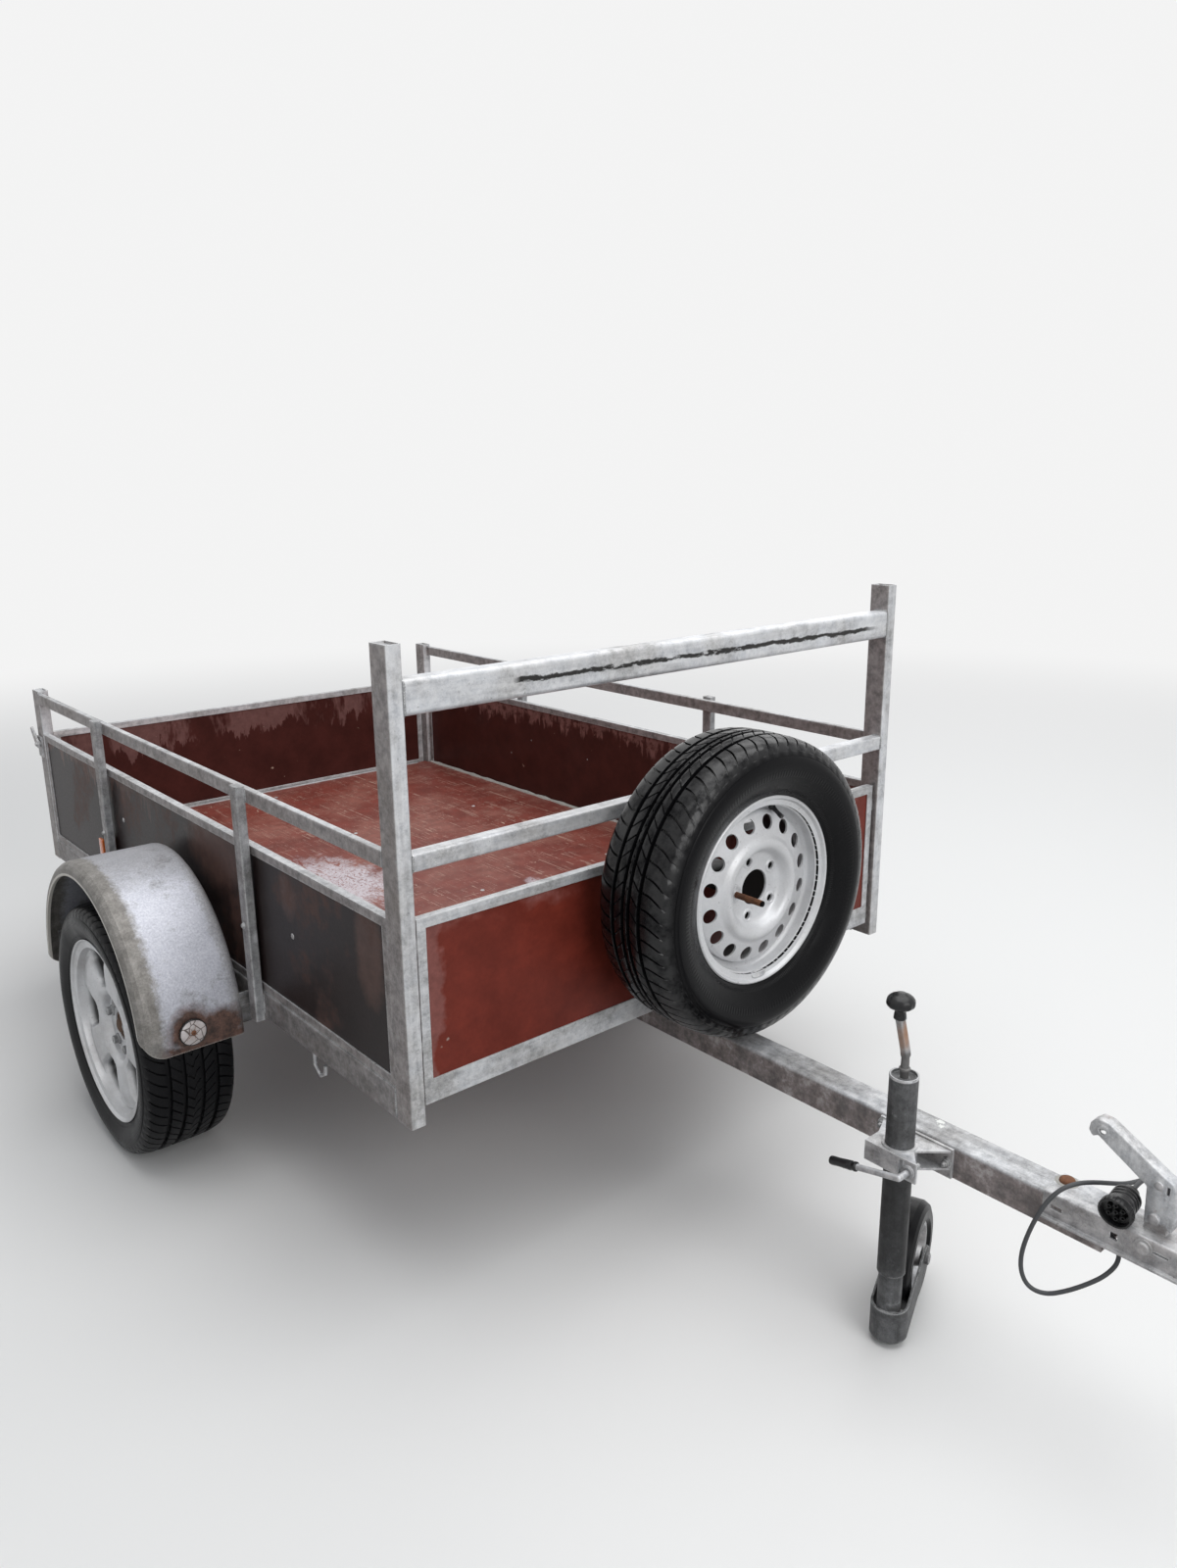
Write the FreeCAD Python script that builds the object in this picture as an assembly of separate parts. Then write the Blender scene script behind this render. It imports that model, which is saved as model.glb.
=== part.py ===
import FreeCAD, Part
import math
import os

# Utility trailer with a boarded load bed, side rails, a spare wheel and a nose jack.
# Millimetres. +Z is up, the coupling points to -Y and the trailer's left side is +X.
# The model is drawn with y = 0 at the front face of the front posts, then moved along Y
# so that the origin lies on the ground under the middle of the whole trailer.

V = FreeCAD.Vector

# Body and corner posts
body_width = 1326.0
body_length = 2000.0
post_width = 30.0
post_depth = 50.0
post_wall = 2.5
post_corner = 4.0
post_foot = 382.0
front_post_height = 840.0
rear_post_height = 503.0
post_cap = 3.0
post_cap_depth = 4.0

# Chassis under the floor
sill_height = 60.0
sill_width = 40.0
sill_wall = 3.0
cross_drop = 45.0
cross_width = 40.0
cross_places = (90.0, 720.0, 1360.0)
rear_sill_depth = 40.0
tube_corner = 4.0

# Boards and the channels round their edges
board_thickness = 12.0
channel_thickness = 17.0
channel_wall = 2.5
channel_height = 18.0
board_top = 758.0
board_setback = 3.0
floor_thickness = 15.0
floor_gap = 2.0
front_frame_gap = 6.0
front_frame_foot = 413.0
front_frame_setback = 10.0
front_rail_height = 45.0
frame_tab_height = 24.0
frame_tab_inset = 3.0
lowest_tab_rise = 12.0
middle_tab_rise = 100.0
top_tab_drop = 60.0

# Side racks and uprights
rack_top = 878.0
rack_height = 30.0
rack_width = 15.0
upright_length = 30.0
upright_depth = 20.0
upright_top = 884.0
upright_foot = 378.0
upright_wall = 2.0
upright_corner = 3.0
front_upright = 585.0
rear_upright_setback = 575.0
upright_places = (front_upright, body_length - rear_upright_setback)

# Bars between the front posts
top_bar_drop = 57.0
top_bar_top = post_foot + front_post_height - top_bar_drop
top_bar_height = 60.0
top_bar_depth = 40.0
top_bar_corner = 9.0
middle_bar_top = 876.0
middle_bar_height = 31.0
middle_bar_depth = 30.0
bar_wall = 2.5

# Tailgate
gate_gap = 5.5
gate_rise = 7.0
gate_foot = post_foot + sill_height + gate_rise
gate_inset = 26.0
gate_front = body_length - gate_inset
hinge_pin_radius = 6.0
hinge_clearance = 0.3
hinge_eye_radius = 11.0
hinge_drop = 12.0
hinge_height = post_foot + sill_height - hinge_drop
hinge_behind_posts = 13.0
hinge_width = 60.0
hinge_spread = 860.0
hinge_places = (-hinge_spread / 2, hinge_spread / 2)
hinge_leaf = 5.0
hinge_leaf_height = 45.0
ear_width = 8.0
ear_gap = 1.0

# Drawbar
drawbar_size = 60.0
drawbar_wall = 4.0
drawbar_top = 397.0
drawbar_tip = 905.0
drawbar_corner = 5.0

# Axle and road wheels
wheel_y = 934.0
wheel_clearance = 134.0
tyre_radius = 288.0
tyre_section = 201.0
tyre_shoulder = 9.0
tread_width = 176.0
rim_seat_radius = 190.0
rim_flange_radius = 208.0
rim_width = 165.0
rim_wall = 6.0
rim_lip = 7.0
rim_well = 16.0
recess_radius = 74.0
recess_step = 6.0
spoke_crown = 70.0
dish_thickness = 12.0
window_root = 100.0
window_reach = 176.0
window_half = 54.0
window_root_half = 20.0
window_corner = 13.0
wheel_centre_x = body_width / 2 + wheel_clearance
wheel_offset = 40.0
pitch_circle = 112.0
wheel_bolts = 5
bolt_hole_radius = 7.0
rim_bore_radius = 33.0
axle_beam_size = 50.0
axle_beam_corner = 8.0
arm_reach = 150.0
axle_beam_y = wheel_y - arm_reach
drawbar_tail = axle_beam_y + 46.0
beam_end_inset = 4.0
arm_thickness = 18.0
arm_root = 34.0
arm_half = 24.0
arm_nose = 22.0
axle_pad_length = 160.0
axle_pad_thickness = 6.0
stub_radius = 14.0
stub_clearance = 0.3
hub_radius = 36.0
hub_flange_radius = 70.0
hub_flange_thickness = 12.0
hub_gap = 13.0
hub_cap_depth = 14.0

# Mudguards
guard_clearance = 32.0
guard_radius = tyre_radius + guard_clearance
guard_rise = 69.0
guard_centre_z = tyre_radius + guard_rise
guard_gap = 27.0
guard_width = 213.0
guard_inner_x = body_width / 2 + guard_gap
guard_outer_x = guard_inner_x + guard_width
guard_wall = 2.0
guard_skirt = 30.0
guard_inner_skirt = 14.0
guard_corner = 24.0
guard_inner_corner = 13.0
guard_hem = 7.0
guard_hem_wall = 4.0
guard_ends = 3.0
guard_end_corner = 52.0
stay_height = 30.0
stay_thickness = 4.0
stay_rise = 41.0
stay_z = guard_centre_z + stay_rise
stay_clearance = 0.3
reflector_radius = 28.0
reflector_thickness = 7.0
reflector_inset = 112.0
reflector_rise = 24.0
side_reflector_gap = 30.0
side_reflector_length = 30.0
side_reflector_height = 60.0
side_reflector_depth = 22.0
side_reflector_foot = 500.0

# Spare wheel
spare_x = 3.0
spare_z = 712.0
spare_y = -135.0
spare_tyre_radius = 294.0
spare_section = 189.0
spare_tread_width = 150.0
spare_seat_radius = 165.0
spare_flange_radius = 182.0
spare_rim_width = 127.0
spare_rim_wall = 4.0
spare_rim_well = 14.0
spare_disc_y = -177.0
spare_disc_wall = 4.0
spare_hump = 16.0
spare_vent_radius = 12.0
spare_vent_circle = 129.0
spare_vents = 16
spare_vent_margin = 4.0
spare_rod_radius = 5.5
spare_rod_reach = 75.0
spare_plate_radius = 70.0
spare_plate_thickness = 6.0
spacer_size = 40.0
spacer_width = 60.0
strap_width = 70.0
strap_thickness = 8.0
strap_foot = 690.0

# Coupling
coupling_wall = 4.0
coupling_rear = 812.0
ball_radius = 25.3
ball_y = -1080.0
ball_z = 379.0
head_radius = 37.0
head_wall = 6.0
head_neck = 44.0
head_lip = 4.0
coupling_foot = 357.0
coupling_flange = 7.0
lever_block = 17.0
lever_gap = 1.0
lever_wall = 2.5
lever_pivot_y = -968.0
lever_pivot_z = 423.0
lever_pivot_radius = 9.0
lever_pivot_head = 4.0
lever_eye_reach = 87.0
lever_eye_rise = 102.0
side_rivet_radius = 10.0
side_rivet_y = -966.0
side_rivet_z = 384.0

# Nose jack
jack_x = -80.0
jack_y = -583.0
jack_tube_radius = 24.0
jack_tube_wall = 3.0
jack_tube_top = 519.0
jack_tube_foot = 145.0
jack_inner_radius = 20.6
jack_inner_wall = 3.0
jack_foot = 13.0
jack_inner_top = 330.0
jack_screw_radius = 7.0
jack_screw_foot = 100.0
jack_screw_clearance = 0.3
jack_clamp_foot = 354.0
jack_clamp_height = 36.0
jack_clamp_wall = 4.0
jack_clamp_front = 32.0
jack_clamp_rear_reach = 46.0
jack_clamp_fore_reach = 54.0
jack_clamp_clearance = 0.3
jack_collar_wall = 5.0
jack_plate_thickness = 5.0
jack_plate_foot = 339.0
jack_plate_height = 54.0
jack_plate_rear_reach = 70.0
jack_plate_fore_reach = 72.0
jack_handle_radius = 5.5
jack_handle_stand = 28.0
jack_handle_setback = 41.0
jack_handle_span = 131.0
jack_handle_drop = 31.0
jack_grip_radius = 8.0
jack_grip_length = 52.0
jack_wheel_radius = 97.0
jack_wheel_width = 50.0
jack_wheel_rim = 62.0
jack_trail = 123.0
jack_heading = 20.0
jack_fork_wall = 4.0
jack_fork_gap = 3.5
jack_fork_bite = 1.0
jack_fork_front_top = 74.0
jack_axle_radius = 8.0
jack_nut_height = 14.0
crank_rise = 44.0
crank_tip_rise = 101.0
crank_lean_x = -8.0
crank_lean_y = 10.0
knob_radius = 23.5
knob_height = 46.0

# Rope hooks, tail lamps and latches
hook_radius = 4.0
hook_inset = 13.0
hook_half = 22.0
hook_drop = 50.0
hook_bend = 16.0
hook_rise = 30.0
hook_setback = 360.0
lamp_margin = 53.0
lamp_width = 210.0
lamp_outer = body_width / 2 - lamp_margin
lamp_inner = lamp_outer - lamp_width
lamp_height = 100.0
lamp_depth = 58.0
lamp_inset = 4.0
lamp_corner = 6.0
latch_plate_thickness = 4.0
latch_plate_half = 20.0
latch_plate_foot = 690.0
latch_plate_top = 750.0
latch_setback = 22.0
latch_pivot_z = 728.0
latch_boss_radius = 8.0
latch_lever_thickness = 6.0
latch_lever_reach = 46.0

# Lead with its plug
lead_radius = 3.5
plug_ring_radius = 25.0
plug_ring_length = 14.0
plug_radius = 21.5
plug_length = 62.0
plug_collar = 14.0
plug_collar_radius = 13.0


def block(x0, x1, y0, y1, z0, z1):
    """A box between two corners."""
    low = V(min(x0, x1), min(y0, y1), min(z0, z1))
    return Part.makeBox(abs(x1 - x0), abs(y1 - y0), abs(z1 - z0), low)


def edges_along(shape, axis):
    """The straight edges of a shape that run along one axis."""
    found = []
    for edge in shape.Edges:
        ends = [vertex.Point for vertex in edge.Vertexes]
        if len(ends) == 2 and abs(abs((ends[1] - ends[0]).normalize().dot(axis)) - 1) < 1e-6:
            found.append(edge)
    return found


AXES = {"x": V(1, 0, 0), "y": V(0, 1, 0), "z": V(0, 0, 1)}


def rounded(shape, axis, radius):
    """A box with the four edges along one axis rounded."""
    return shape.makeFillet(radius, edges_along(shape, AXES[axis]))


def square_tube(x0, x1, y0, y1, z0, z1, axis, wall, corner, cap=0.0, sunk=0.0):
    """A rectangular tube along one axis, closed by a cap sunk below its far end where cap is set."""
    low = {"x": min(x0, x1), "y": min(y0, y1), "z": min(z0, z1)}
    high = {"x": max(x0, x1), "y": max(y0, y1), "z": max(z0, z1)}
    tube = rounded(block(x0, x1, y0, y1, z0, z1), axis, corner)
    near = low[axis] - 1.0
    far = high[axis] + 1.0
    spans = [(near, far)] if cap == 0 else [(near, high[axis] - sunk - cap), (high[axis] - sunk, far)]
    for name in low:
        low[name] += wall
        high[name] -= wall
    for start, end in spans:
        low[axis] = start
        high[axis] = end
        hollow = block(low["x"], high["x"], low["y"], high["y"], low["z"], high["z"])
        if corner > wall + 0.5:
            hollow = rounded(hollow, axis, corner - wall)
        tube = tube.cut(hollow)
    return tube


def cylinder(radius, start, end):
    """A round bar between two points."""
    return Part.makeCylinder(radius, (end - start).Length, start, end - start)


def pipe(radius, wall, start, end):
    """A round tube between two points, open at both ends."""
    return cylinder(radius, start, end).cut(cylinder(radius - wall, start, end))


def prism(points, depth):
    """A solid from a closed outline of points, pushed along a vector."""
    return Part.Face(Part.makePolygon(points + [points[0]])).extrude(depth)


def eased(corners, radii, steps):
    """An open outline whose corners are rounded in a few straight steps."""
    points = [corners[0]]
    for before, corner, after, radius in zip(corners, corners[1:], corners[2:], radii[1:]):
        back = (before - corner).normalize()
        ahead = (after - corner).normalize()
        half = math.acos(max(-1.0, min(1.0, back.dot(ahead)))) / 2
        centre = corner + (back + ahead).normalize() * (radius / math.sin(half))
        spoke = corner + back * (radius / math.tan(half)) - centre
        turn = math.degrees(math.pi - 2 * half)
        axis = back.cross(ahead)
        for step in range(steps + 1):
            swing = FreeCAD.Rotation(axis, -turn * step / steps)
            points.append(centre + swing.multVec(spoke))
    return points + [corners[-1]]


def fuse(shapes):
    """Several solids made one."""
    whole = shapes[0]
    if len(shapes) > 1:
        whole = whole.multiFuse(shapes[1:])
    return whole.removeSplitter()


half_width = body_width / 2
inner_width = half_width - post_width
rear_post_top = post_foot + rear_post_height
front_post_top = post_foot + front_post_height
sill_top = post_foot + sill_height
drawbar_foot = drawbar_top - drawbar_size
front_y = post_depth
rear_y = body_length - post_depth
SIDES = (1, -1)


def make_posts():
    """Four corner posts, capped at the top."""
    posts = []
    # columns: front face of the post along Y, top
    for y, top in ((0.0, front_post_top), (rear_y, rear_post_top)):
        for side in SIDES:
            x = side * half_width
            posts.append(square_tube(x, x - side * post_width, y, y + post_depth, post_foot, top,
                                     "z", post_wall, post_corner, post_cap, post_cap_depth))
    return posts


def make_sills():
    """The two side sills between the posts."""
    sills = []
    for side in SIDES:
        x = side * half_width
        sills.append(square_tube(x, x - side * sill_width, front_y, rear_y, post_foot, sill_top,
                                 "y", sill_wall, tube_corner))
    return sills


def make_cross_members():
    """The cross members that carry the floor."""
    inner = half_width - sill_width
    members = []
    for y in cross_places:
        members.append(square_tube(-inner, inner, y - cross_width / 2, y + cross_width / 2,
                                   sill_top - cross_drop, sill_top, "x", sill_wall, tube_corner))
    return members


def make_rear_sill():
    """The rear sill with the fixed ears of the tailgate's hinges."""
    sill = square_tube(-inner_width, inner_width, body_length - rear_sill_depth, body_length,
                       post_foot, sill_top, "x", sill_wall, tube_corner)
    pin_y = body_length + hinge_behind_posts
    shapes = [sill]
    for x in hinge_places:
        for side in SIDES:
            face = x + side * (hinge_width / 2 + ear_gap)
            ear = block(face, face + side * ear_width, body_length - 1.0, pin_y,
                        hinge_height - hinge_eye_radius, hinge_height + hinge_eye_radius)
            eye = cylinder(hinge_eye_radius, V(face, pin_y, hinge_height),
                           V(face + side * ear_width, pin_y, hinge_height))
            shapes += [ear, eye]
        reach = hinge_width / 2 + ear_gap + ear_width
        shapes.append(cylinder(hinge_pin_radius, V(x - reach, pin_y, hinge_height),
                               V(x + reach, pin_y, hinge_height)))
    return fuse(shapes)


def make_uprights():
    """Two capped uprights on each side, outside the sill and the rack rail."""
    uprights = []
    for side in SIDES:
        for y in upright_places:
            x = side * half_width
            uprights.append(square_tube(x, x + side * upright_depth, y - upright_length / 2,
                                        y + upright_length / 2, upright_foot, upright_top,
                                        "z", upright_wall, upright_corner, post_cap))
    return uprights


def make_rack_rails():
    """The rack rail on each side, from front post to rear post."""
    rails = []
    for side in SIDES:
        x = side * half_width
        rails.append(square_tube(x, x - side * rack_width, front_y, rear_y, rack_top - rack_height,
                                 rack_top, "y", upright_wall, upright_corner))
    return rails


def channel_frame_x(side, y0, y1, z0, z1):
    """A frame of channel section round a board that faces along X, open for the board."""
    outer = side * (half_width - board_setback)
    inner = outer - side * channel_thickness
    skin = (channel_thickness - board_thickness) / 2
    frame = block(outer, inner, y0, y1, z0, z1)
    window = block(outer + side, inner - side, y0 + channel_height, y1 - channel_height,
                   z0 + channel_height, z1 - channel_height)
    slot = block(outer - side * skin, inner + side * skin, y0 + channel_wall, y1 - channel_wall,
                 z0 + channel_wall, z1 - channel_wall)
    return frame.cut(window).cut(slot)


def side_board(side, y0, y1, z0, z1):
    """The board that fills a channel frame on one side."""
    skin = (channel_thickness - board_thickness) / 2
    outer = side * (half_width - board_setback - skin)
    return block(outer, outer - side * board_thickness, y0 + channel_wall, y1 - channel_wall,
                 z0 + channel_wall, z1 - channel_wall)


def make_side_boards():
    """Side boards and their channel frames."""
    frames = []
    boards = []
    for side in SIDES:
        frames.append(channel_frame_x(side, front_y, rear_y, sill_top, board_top))
        boards.append(side_board(side, front_y, rear_y, sill_top, board_top))
    return frames, boards


front_half = inner_width - front_frame_gap
front_face = front_frame_setback
front_back = front_frame_setback + channel_thickness


def make_front_panel():
    """The front board in its own frame, which hangs between the posts on short tabs."""
    skin = (channel_thickness - board_thickness) / 2
    frame = block(-front_half, front_half, front_face, front_back, front_frame_foot, board_top)
    window = block(-front_half + channel_height, front_half - channel_height, front_face - 1,
                   front_back + 1, front_frame_foot + front_rail_height, board_top - channel_height)
    slot = block(-front_half + channel_wall, front_half - channel_wall, front_face + skin,
                 front_back - skin, front_frame_foot + front_rail_height - channel_height,
                 board_top - channel_wall)
    shapes = [frame.cut(window).cut(slot)]
    # columns: height of each tab's foot
    for z in (front_frame_foot + lowest_tab_rise, front_frame_foot + middle_tab_rise,
              board_top - top_tab_drop):
        for side in SIDES:
            shapes.append(block(side * (front_half - 1.0), side * inner_width,
                                front_face + frame_tab_inset, front_back - frame_tab_inset,
                                z, z + frame_tab_height))
    board = block(-front_half + channel_wall, front_half - channel_wall, front_face + skin,
                  front_back - skin, front_frame_foot + front_rail_height - channel_height,
                  board_top - channel_wall)
    return fuse(shapes), board


def make_front_bars():
    """The top and middle bars between the front posts."""
    # columns: top, height, depth, corner radius
    table = ((top_bar_top, top_bar_height, top_bar_depth, top_bar_corner),
             (middle_bar_top, middle_bar_height, middle_bar_depth, tube_corner))
    bars = []
    for top, height, depth, corner in table:
        bars.append(square_tube(-inner_width, inner_width, 0.0, depth, top - height, top,
                                "x", bar_wall, corner))
    return bars


def make_floor():
    """The floor board on the sills and cross members."""
    reach = half_width - board_setback - channel_thickness - floor_gap
    y0 = front_back + floor_gap
    y1 = gate_front - gate_gap
    board = block(-reach, reach, y0, y1, sill_top, sill_top + floor_thickness)
    notch = inner_width - floor_gap
    for side in SIDES:
        for start, end in ((y0 - 1, front_y + floor_gap), (rear_y - floor_gap, y1 + 1)):
            board = board.cut(block(side * notch, side * (reach + 1), start, end,
                                    sill_top - 1, sill_top + floor_thickness + 1))
    return board


gate_half = inner_width - gate_gap


def make_tailgate():
    """The tailgate's channel frame with its hinge eyes, and its board."""
    back = gate_front + channel_thickness
    skin = (channel_thickness - board_thickness) / 2
    frame = block(-gate_half, gate_half, gate_front, back, gate_foot, board_top)
    window = block(-gate_half + channel_height, gate_half - channel_height, gate_front - 1,
                   back + 1, gate_foot + channel_height, board_top - channel_height)
    slot = block(-gate_half + channel_wall, gate_half - channel_wall, gate_front + skin,
                 back - skin, gate_foot + channel_wall, board_top - channel_wall)
    shapes = [frame.cut(window).cut(slot)]
    pin_y = body_length + hinge_behind_posts
    for x in hinge_places:
        x0 = x - hinge_width / 2
        x1 = x + hinge_width / 2
        strap = prism([V(x0, back - 0.5, gate_foot), V(x0, back - 0.5, gate_foot + hinge_leaf_height),
                       V(x0, back + hinge_leaf, gate_foot + hinge_leaf_height),
                       V(x0, back + hinge_leaf, gate_foot + 7.0), V(x0, pin_y - 3.0, gate_foot + 5.0),
                       V(x0, pin_y + 5.0, hinge_height + 8.0), V(x0, pin_y - 8.5, hinge_height + 5.0),
                       V(x0, pin_y - 8.5, gate_foot)], V(x1 - x0, 0, 0))
        eye = cylinder(hinge_eye_radius, V(x0, pin_y, hinge_height), V(x1, pin_y, hinge_height))
        shapes += [strap, eye]
    frame = fuse(shapes)
    for x in hinge_places:
        frame = frame.cut(cylinder(hinge_pin_radius + hinge_clearance,
                                   V(x - hinge_width, pin_y, hinge_height),
                                   V(x + hinge_width, pin_y, hinge_height)))
    board = block(-gate_half + channel_wall, gate_half - channel_wall, gate_front + skin,
                  back - skin, gate_foot + channel_wall, board_top - channel_wall)
    return frame, board


def make_drawbar():
    """The square drawbar, from inside the coupling to over the axle beam."""
    half = drawbar_size / 2
    return square_tube(-half, half, -drawbar_tip, drawbar_tail, drawbar_foot, drawbar_top,
                       "y", drawbar_wall, drawbar_corner)


wheel_z = tyre_radius
beam_z = drawbar_foot - axle_beam_size / 2
hub_face = wheel_centre_x + wheel_offset


def make_axle():
    """The axle beam under the drawbar, its brackets, its trailing arms and stub axles."""
    half = axle_beam_size / 2
    pad = axle_pad_length / 2
    beam_end = half_width - beam_end_inset
    shapes = [rounded(block(-beam_end, beam_end, axle_beam_y - half, axle_beam_y + half,
                            beam_z - half, beam_z + half), "x", axle_beam_corner)]
    for side in SIDES:
        x = side * (half_width - sill_width)
        # columns: y from the beam's middle, z
        web = ((-half, beam_z + half - 1.0), (half, beam_z + half - 1.0),
               (pad, post_foot - axle_pad_thickness), (pad, post_foot),
               (-pad, post_foot), (-pad, post_foot - axle_pad_thickness))
        web = [V(x, axle_beam_y + y, z) for y, z in web]
        shapes.append(prism(web, V(side * axle_pad_thickness, 0, 0)))
        shapes.append(block(x, x + side * sill_width, axle_beam_y - pad, axle_beam_y + pad,
                            post_foot - axle_pad_thickness, post_foot))
        face = side * beam_end
        out = side * (beam_end + arm_thickness)
        arm = prism([V(face, axle_beam_y - arm_root, beam_z - arm_half),
                     V(face, wheel_y + 4, wheel_z - arm_nose), V(face, wheel_y + arm_nose, wheel_z),
                     V(face, wheel_y + 4, wheel_z + arm_nose),
                     V(face, axle_beam_y - arm_root, beam_z + arm_half)], V(out - face, 0, 0))
        shapes.append(arm)
        shapes.append(cylinder(arm_nose, V(out, wheel_y, wheel_z),
                               V(out + side * (hub_gap - 1.0), wheel_y, wheel_z)))
        shapes.append(cylinder(stub_radius, V(face, wheel_y, wheel_z),
                               V(side * (hub_face - hub_cap_depth - 2.0), wheel_y, wheel_z)))
    return fuse(shapes)


def make_hub(side):
    """A wheel hub that turns on its stub axle."""
    inner = half_width - beam_end_inset + arm_thickness + hub_gap
    shapes = [cylinder(hub_radius, V(side * inner, wheel_y, wheel_z),
                       V(side * hub_face, wheel_y, wheel_z)),
              cylinder(hub_flange_radius, V(side * (hub_face - hub_flange_thickness), wheel_y, wheel_z),
                       V(side * hub_face, wheel_y, wheel_z))]
    bore = cylinder(stub_radius + stub_clearance, V(side * (inner - 1), wheel_y, wheel_z),
                    V(side * (hub_face - hub_cap_depth), wheel_y, wheel_z))
    return fuse(shapes).cut(bore)


def tyre(centre, axis, radius, section, tread, seat, flange, width):
    """A tyre as a ring of revolution, drawn across its axis and seated on the rim."""
    up = V(0, 0, 1)
    half = width / 2
    wall = radius - flange
    # columns: distance from the middle plane, distance from the axis
    side_points = ((half, seat), (half, flange + 2), (section / 2, flange + 0.45 * wall),
                   (tread / 2, radius - tyre_shoulder), (tread / 3, radius))
    points = [centre + axis * across + up * out for across, out in side_points]
    points += [centre - axis * across + up * out for across, out in reversed(side_points)]
    return Part.Face(Part.makePolygon(points + [points[0]])).revolve(centre, axis, 360)


def barrel(centre, axis, seat, flange, width, wall, well):
    """A rim's barrel: flanges, bead seats and the well between them."""
    up = V(0, 0, 1)

    def at(across, out):
        return centre + axis * across + up * out

    half = width / 2
    depth = seat - well
    outline = [at(half + rim_lip, flange), at(half, flange), at(half, seat), at(half - 26, seat),
               at(half - 40, depth), at(-half + 50, depth), at(-half + 36, seat), at(-half, seat),
               at(-half, flange), at(-half - rim_lip, flange), at(-half - rim_lip, seat - wall),
               at(-half + 30, seat - wall), at(-half + 44, depth - wall), at(half - 34, depth - wall),
               at(half - 20, seat - wall), at(half + rim_lip, seat - wall)]
    return Part.Face(Part.makePolygon(outline + [outline[0]])).revolve(centre, axis, 360)


def ring_of_holes(centre, axis, first, circle_radius, count, radius, depth, turn=0.0):
    """Round cutters on a pitch circle, pushed along the axis both ways."""
    cutters = []
    for number in range(count):
        spot = FreeCAD.Rotation(axis, turn + 360.0 * number / count).multVec(first * circle_radius)
        middle = centre + spot
        cutters.append(cylinder(radius, middle - axis * depth, middle + axis * depth))
    return cutters


def make_road_rim(side):
    """A five-spoke alloy rim: broad flush spokes, scooped windows and a recessed middle."""
    centre = V(side * wheel_centre_x, wheel_y, wheel_z)
    axis = V(side, 0, 0)
    rim = barrel(centre, axis, rim_seat_radius, rim_flange_radius, rim_width, rim_wall, rim_well)
    up = V(0, 0, 1)

    def at(across, out):
        return centre + axis * across + up * out

    face = wheel_offset
    back = dish_thickness
    shell = rim_seat_radius - rim_wall / 2
    step = recess_radius + recess_step
    dish = [at(face, rim_bore_radius), at(face, recess_radius), at(spoke_crown - 2 * back, step),
            at(spoke_crown - back, shell), at(spoke_crown + 6.0, shell), at(spoke_crown, step),
            at(face + back, recess_radius), at(face + back, rim_bore_radius)]
    disc = Part.Face(Part.makePolygon(dish + [dish[0]])).revolve(centre, axis, 360)
    # columns: distance from the spoke's middle line, distance from the axis
    corners = ((-window_root_half, window_root), (window_root_half, window_root),
               (window_half, window_reach - 14.0), (window_half - 16.0, window_reach),
               (16.0 - window_half, window_reach), (-window_half, window_reach - 14.0))
    windows = []
    for number in range(wheel_bolts):
        outline = [V(centre.x + side * 20.0, wheel_y + w, wheel_z + r) for w, r in corners]
        window = prism(outline, axis * 90.0)
        window = window.makeFillet(window_corner, edges_along(window, V(1, 0, 0))[:2])
        window.rotate(centre, axis, 36.0 + 360.0 / wheel_bolts * number)
        windows.append(window)
    disc = disc.cut(Part.makeCompound(windows))
    bolts = ring_of_holes(centre + axis * face, axis, up, pitch_circle / 2, wheel_bolts,
                          bolt_hole_radius, 30.0)
    disc = disc.cut(Part.makeCompound(bolts))
    return fuse([rim, disc])


def make_guard(side):
    """A rounded mudguard: a rolled sheet with a skirt on the outside and a bead on its edge."""
    centre = V(0, wheel_y, guard_centre_z)
    outer = side * guard_outer_x
    inner = side * guard_inner_x
    low = guard_radius - guard_skirt
    start = FreeCAD.Rotation(V(1, 0, 0), 90 + guard_ends).multVec(V(0, 0, 1))

    def at(x, radius):
        return V(x, wheel_y, guard_centre_z) + start * radius

    def skin(offset, first, last):
        r = guard_radius - offset
        corners = [at(outer - side * offset, first), at(outer - side * offset, r),
                   at(inner + side * offset, r), at(inner + side * offset, last)]
        return eased(corners, [0, guard_corner - offset, guard_inner_corner - offset, 0], 4)

    edge = guard_radius - guard_inner_skirt
    hem_x = outer - side * guard_hem
    hem_top = low + guard_hem_wall
    outline = skin(0.0, low, edge) + skin(guard_wall, hem_top, edge)[::-1]
    outline += [at(hem_x, hem_top), at(hem_x, low)]
    face = Part.Face(Part.makePolygon(outline + [outline[0]]))
    guard = face.revolve(centre, V(1, 0, 0), -(180.0 + 2 * guard_ends))
    floor_z = guard_centre_z - guard_radius * math.sin(math.radians(guard_ends)) - 0.8
    k = guard_end_corner
    corner = block(outer + side * 10, outer - side * k, wheel_y - 400, wheel_y + 400,
                   floor_z - 20, floor_z + k)
    keep = cylinder(k, V(outer - side * k, wheel_y - 401, floor_z + k),
                    V(outer - side * k, wheel_y + 401, floor_z + k))
    return guard.cut(corner.cut(keep)).cut(Part.makeCompound(make_stays(stay_clearance)))


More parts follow.
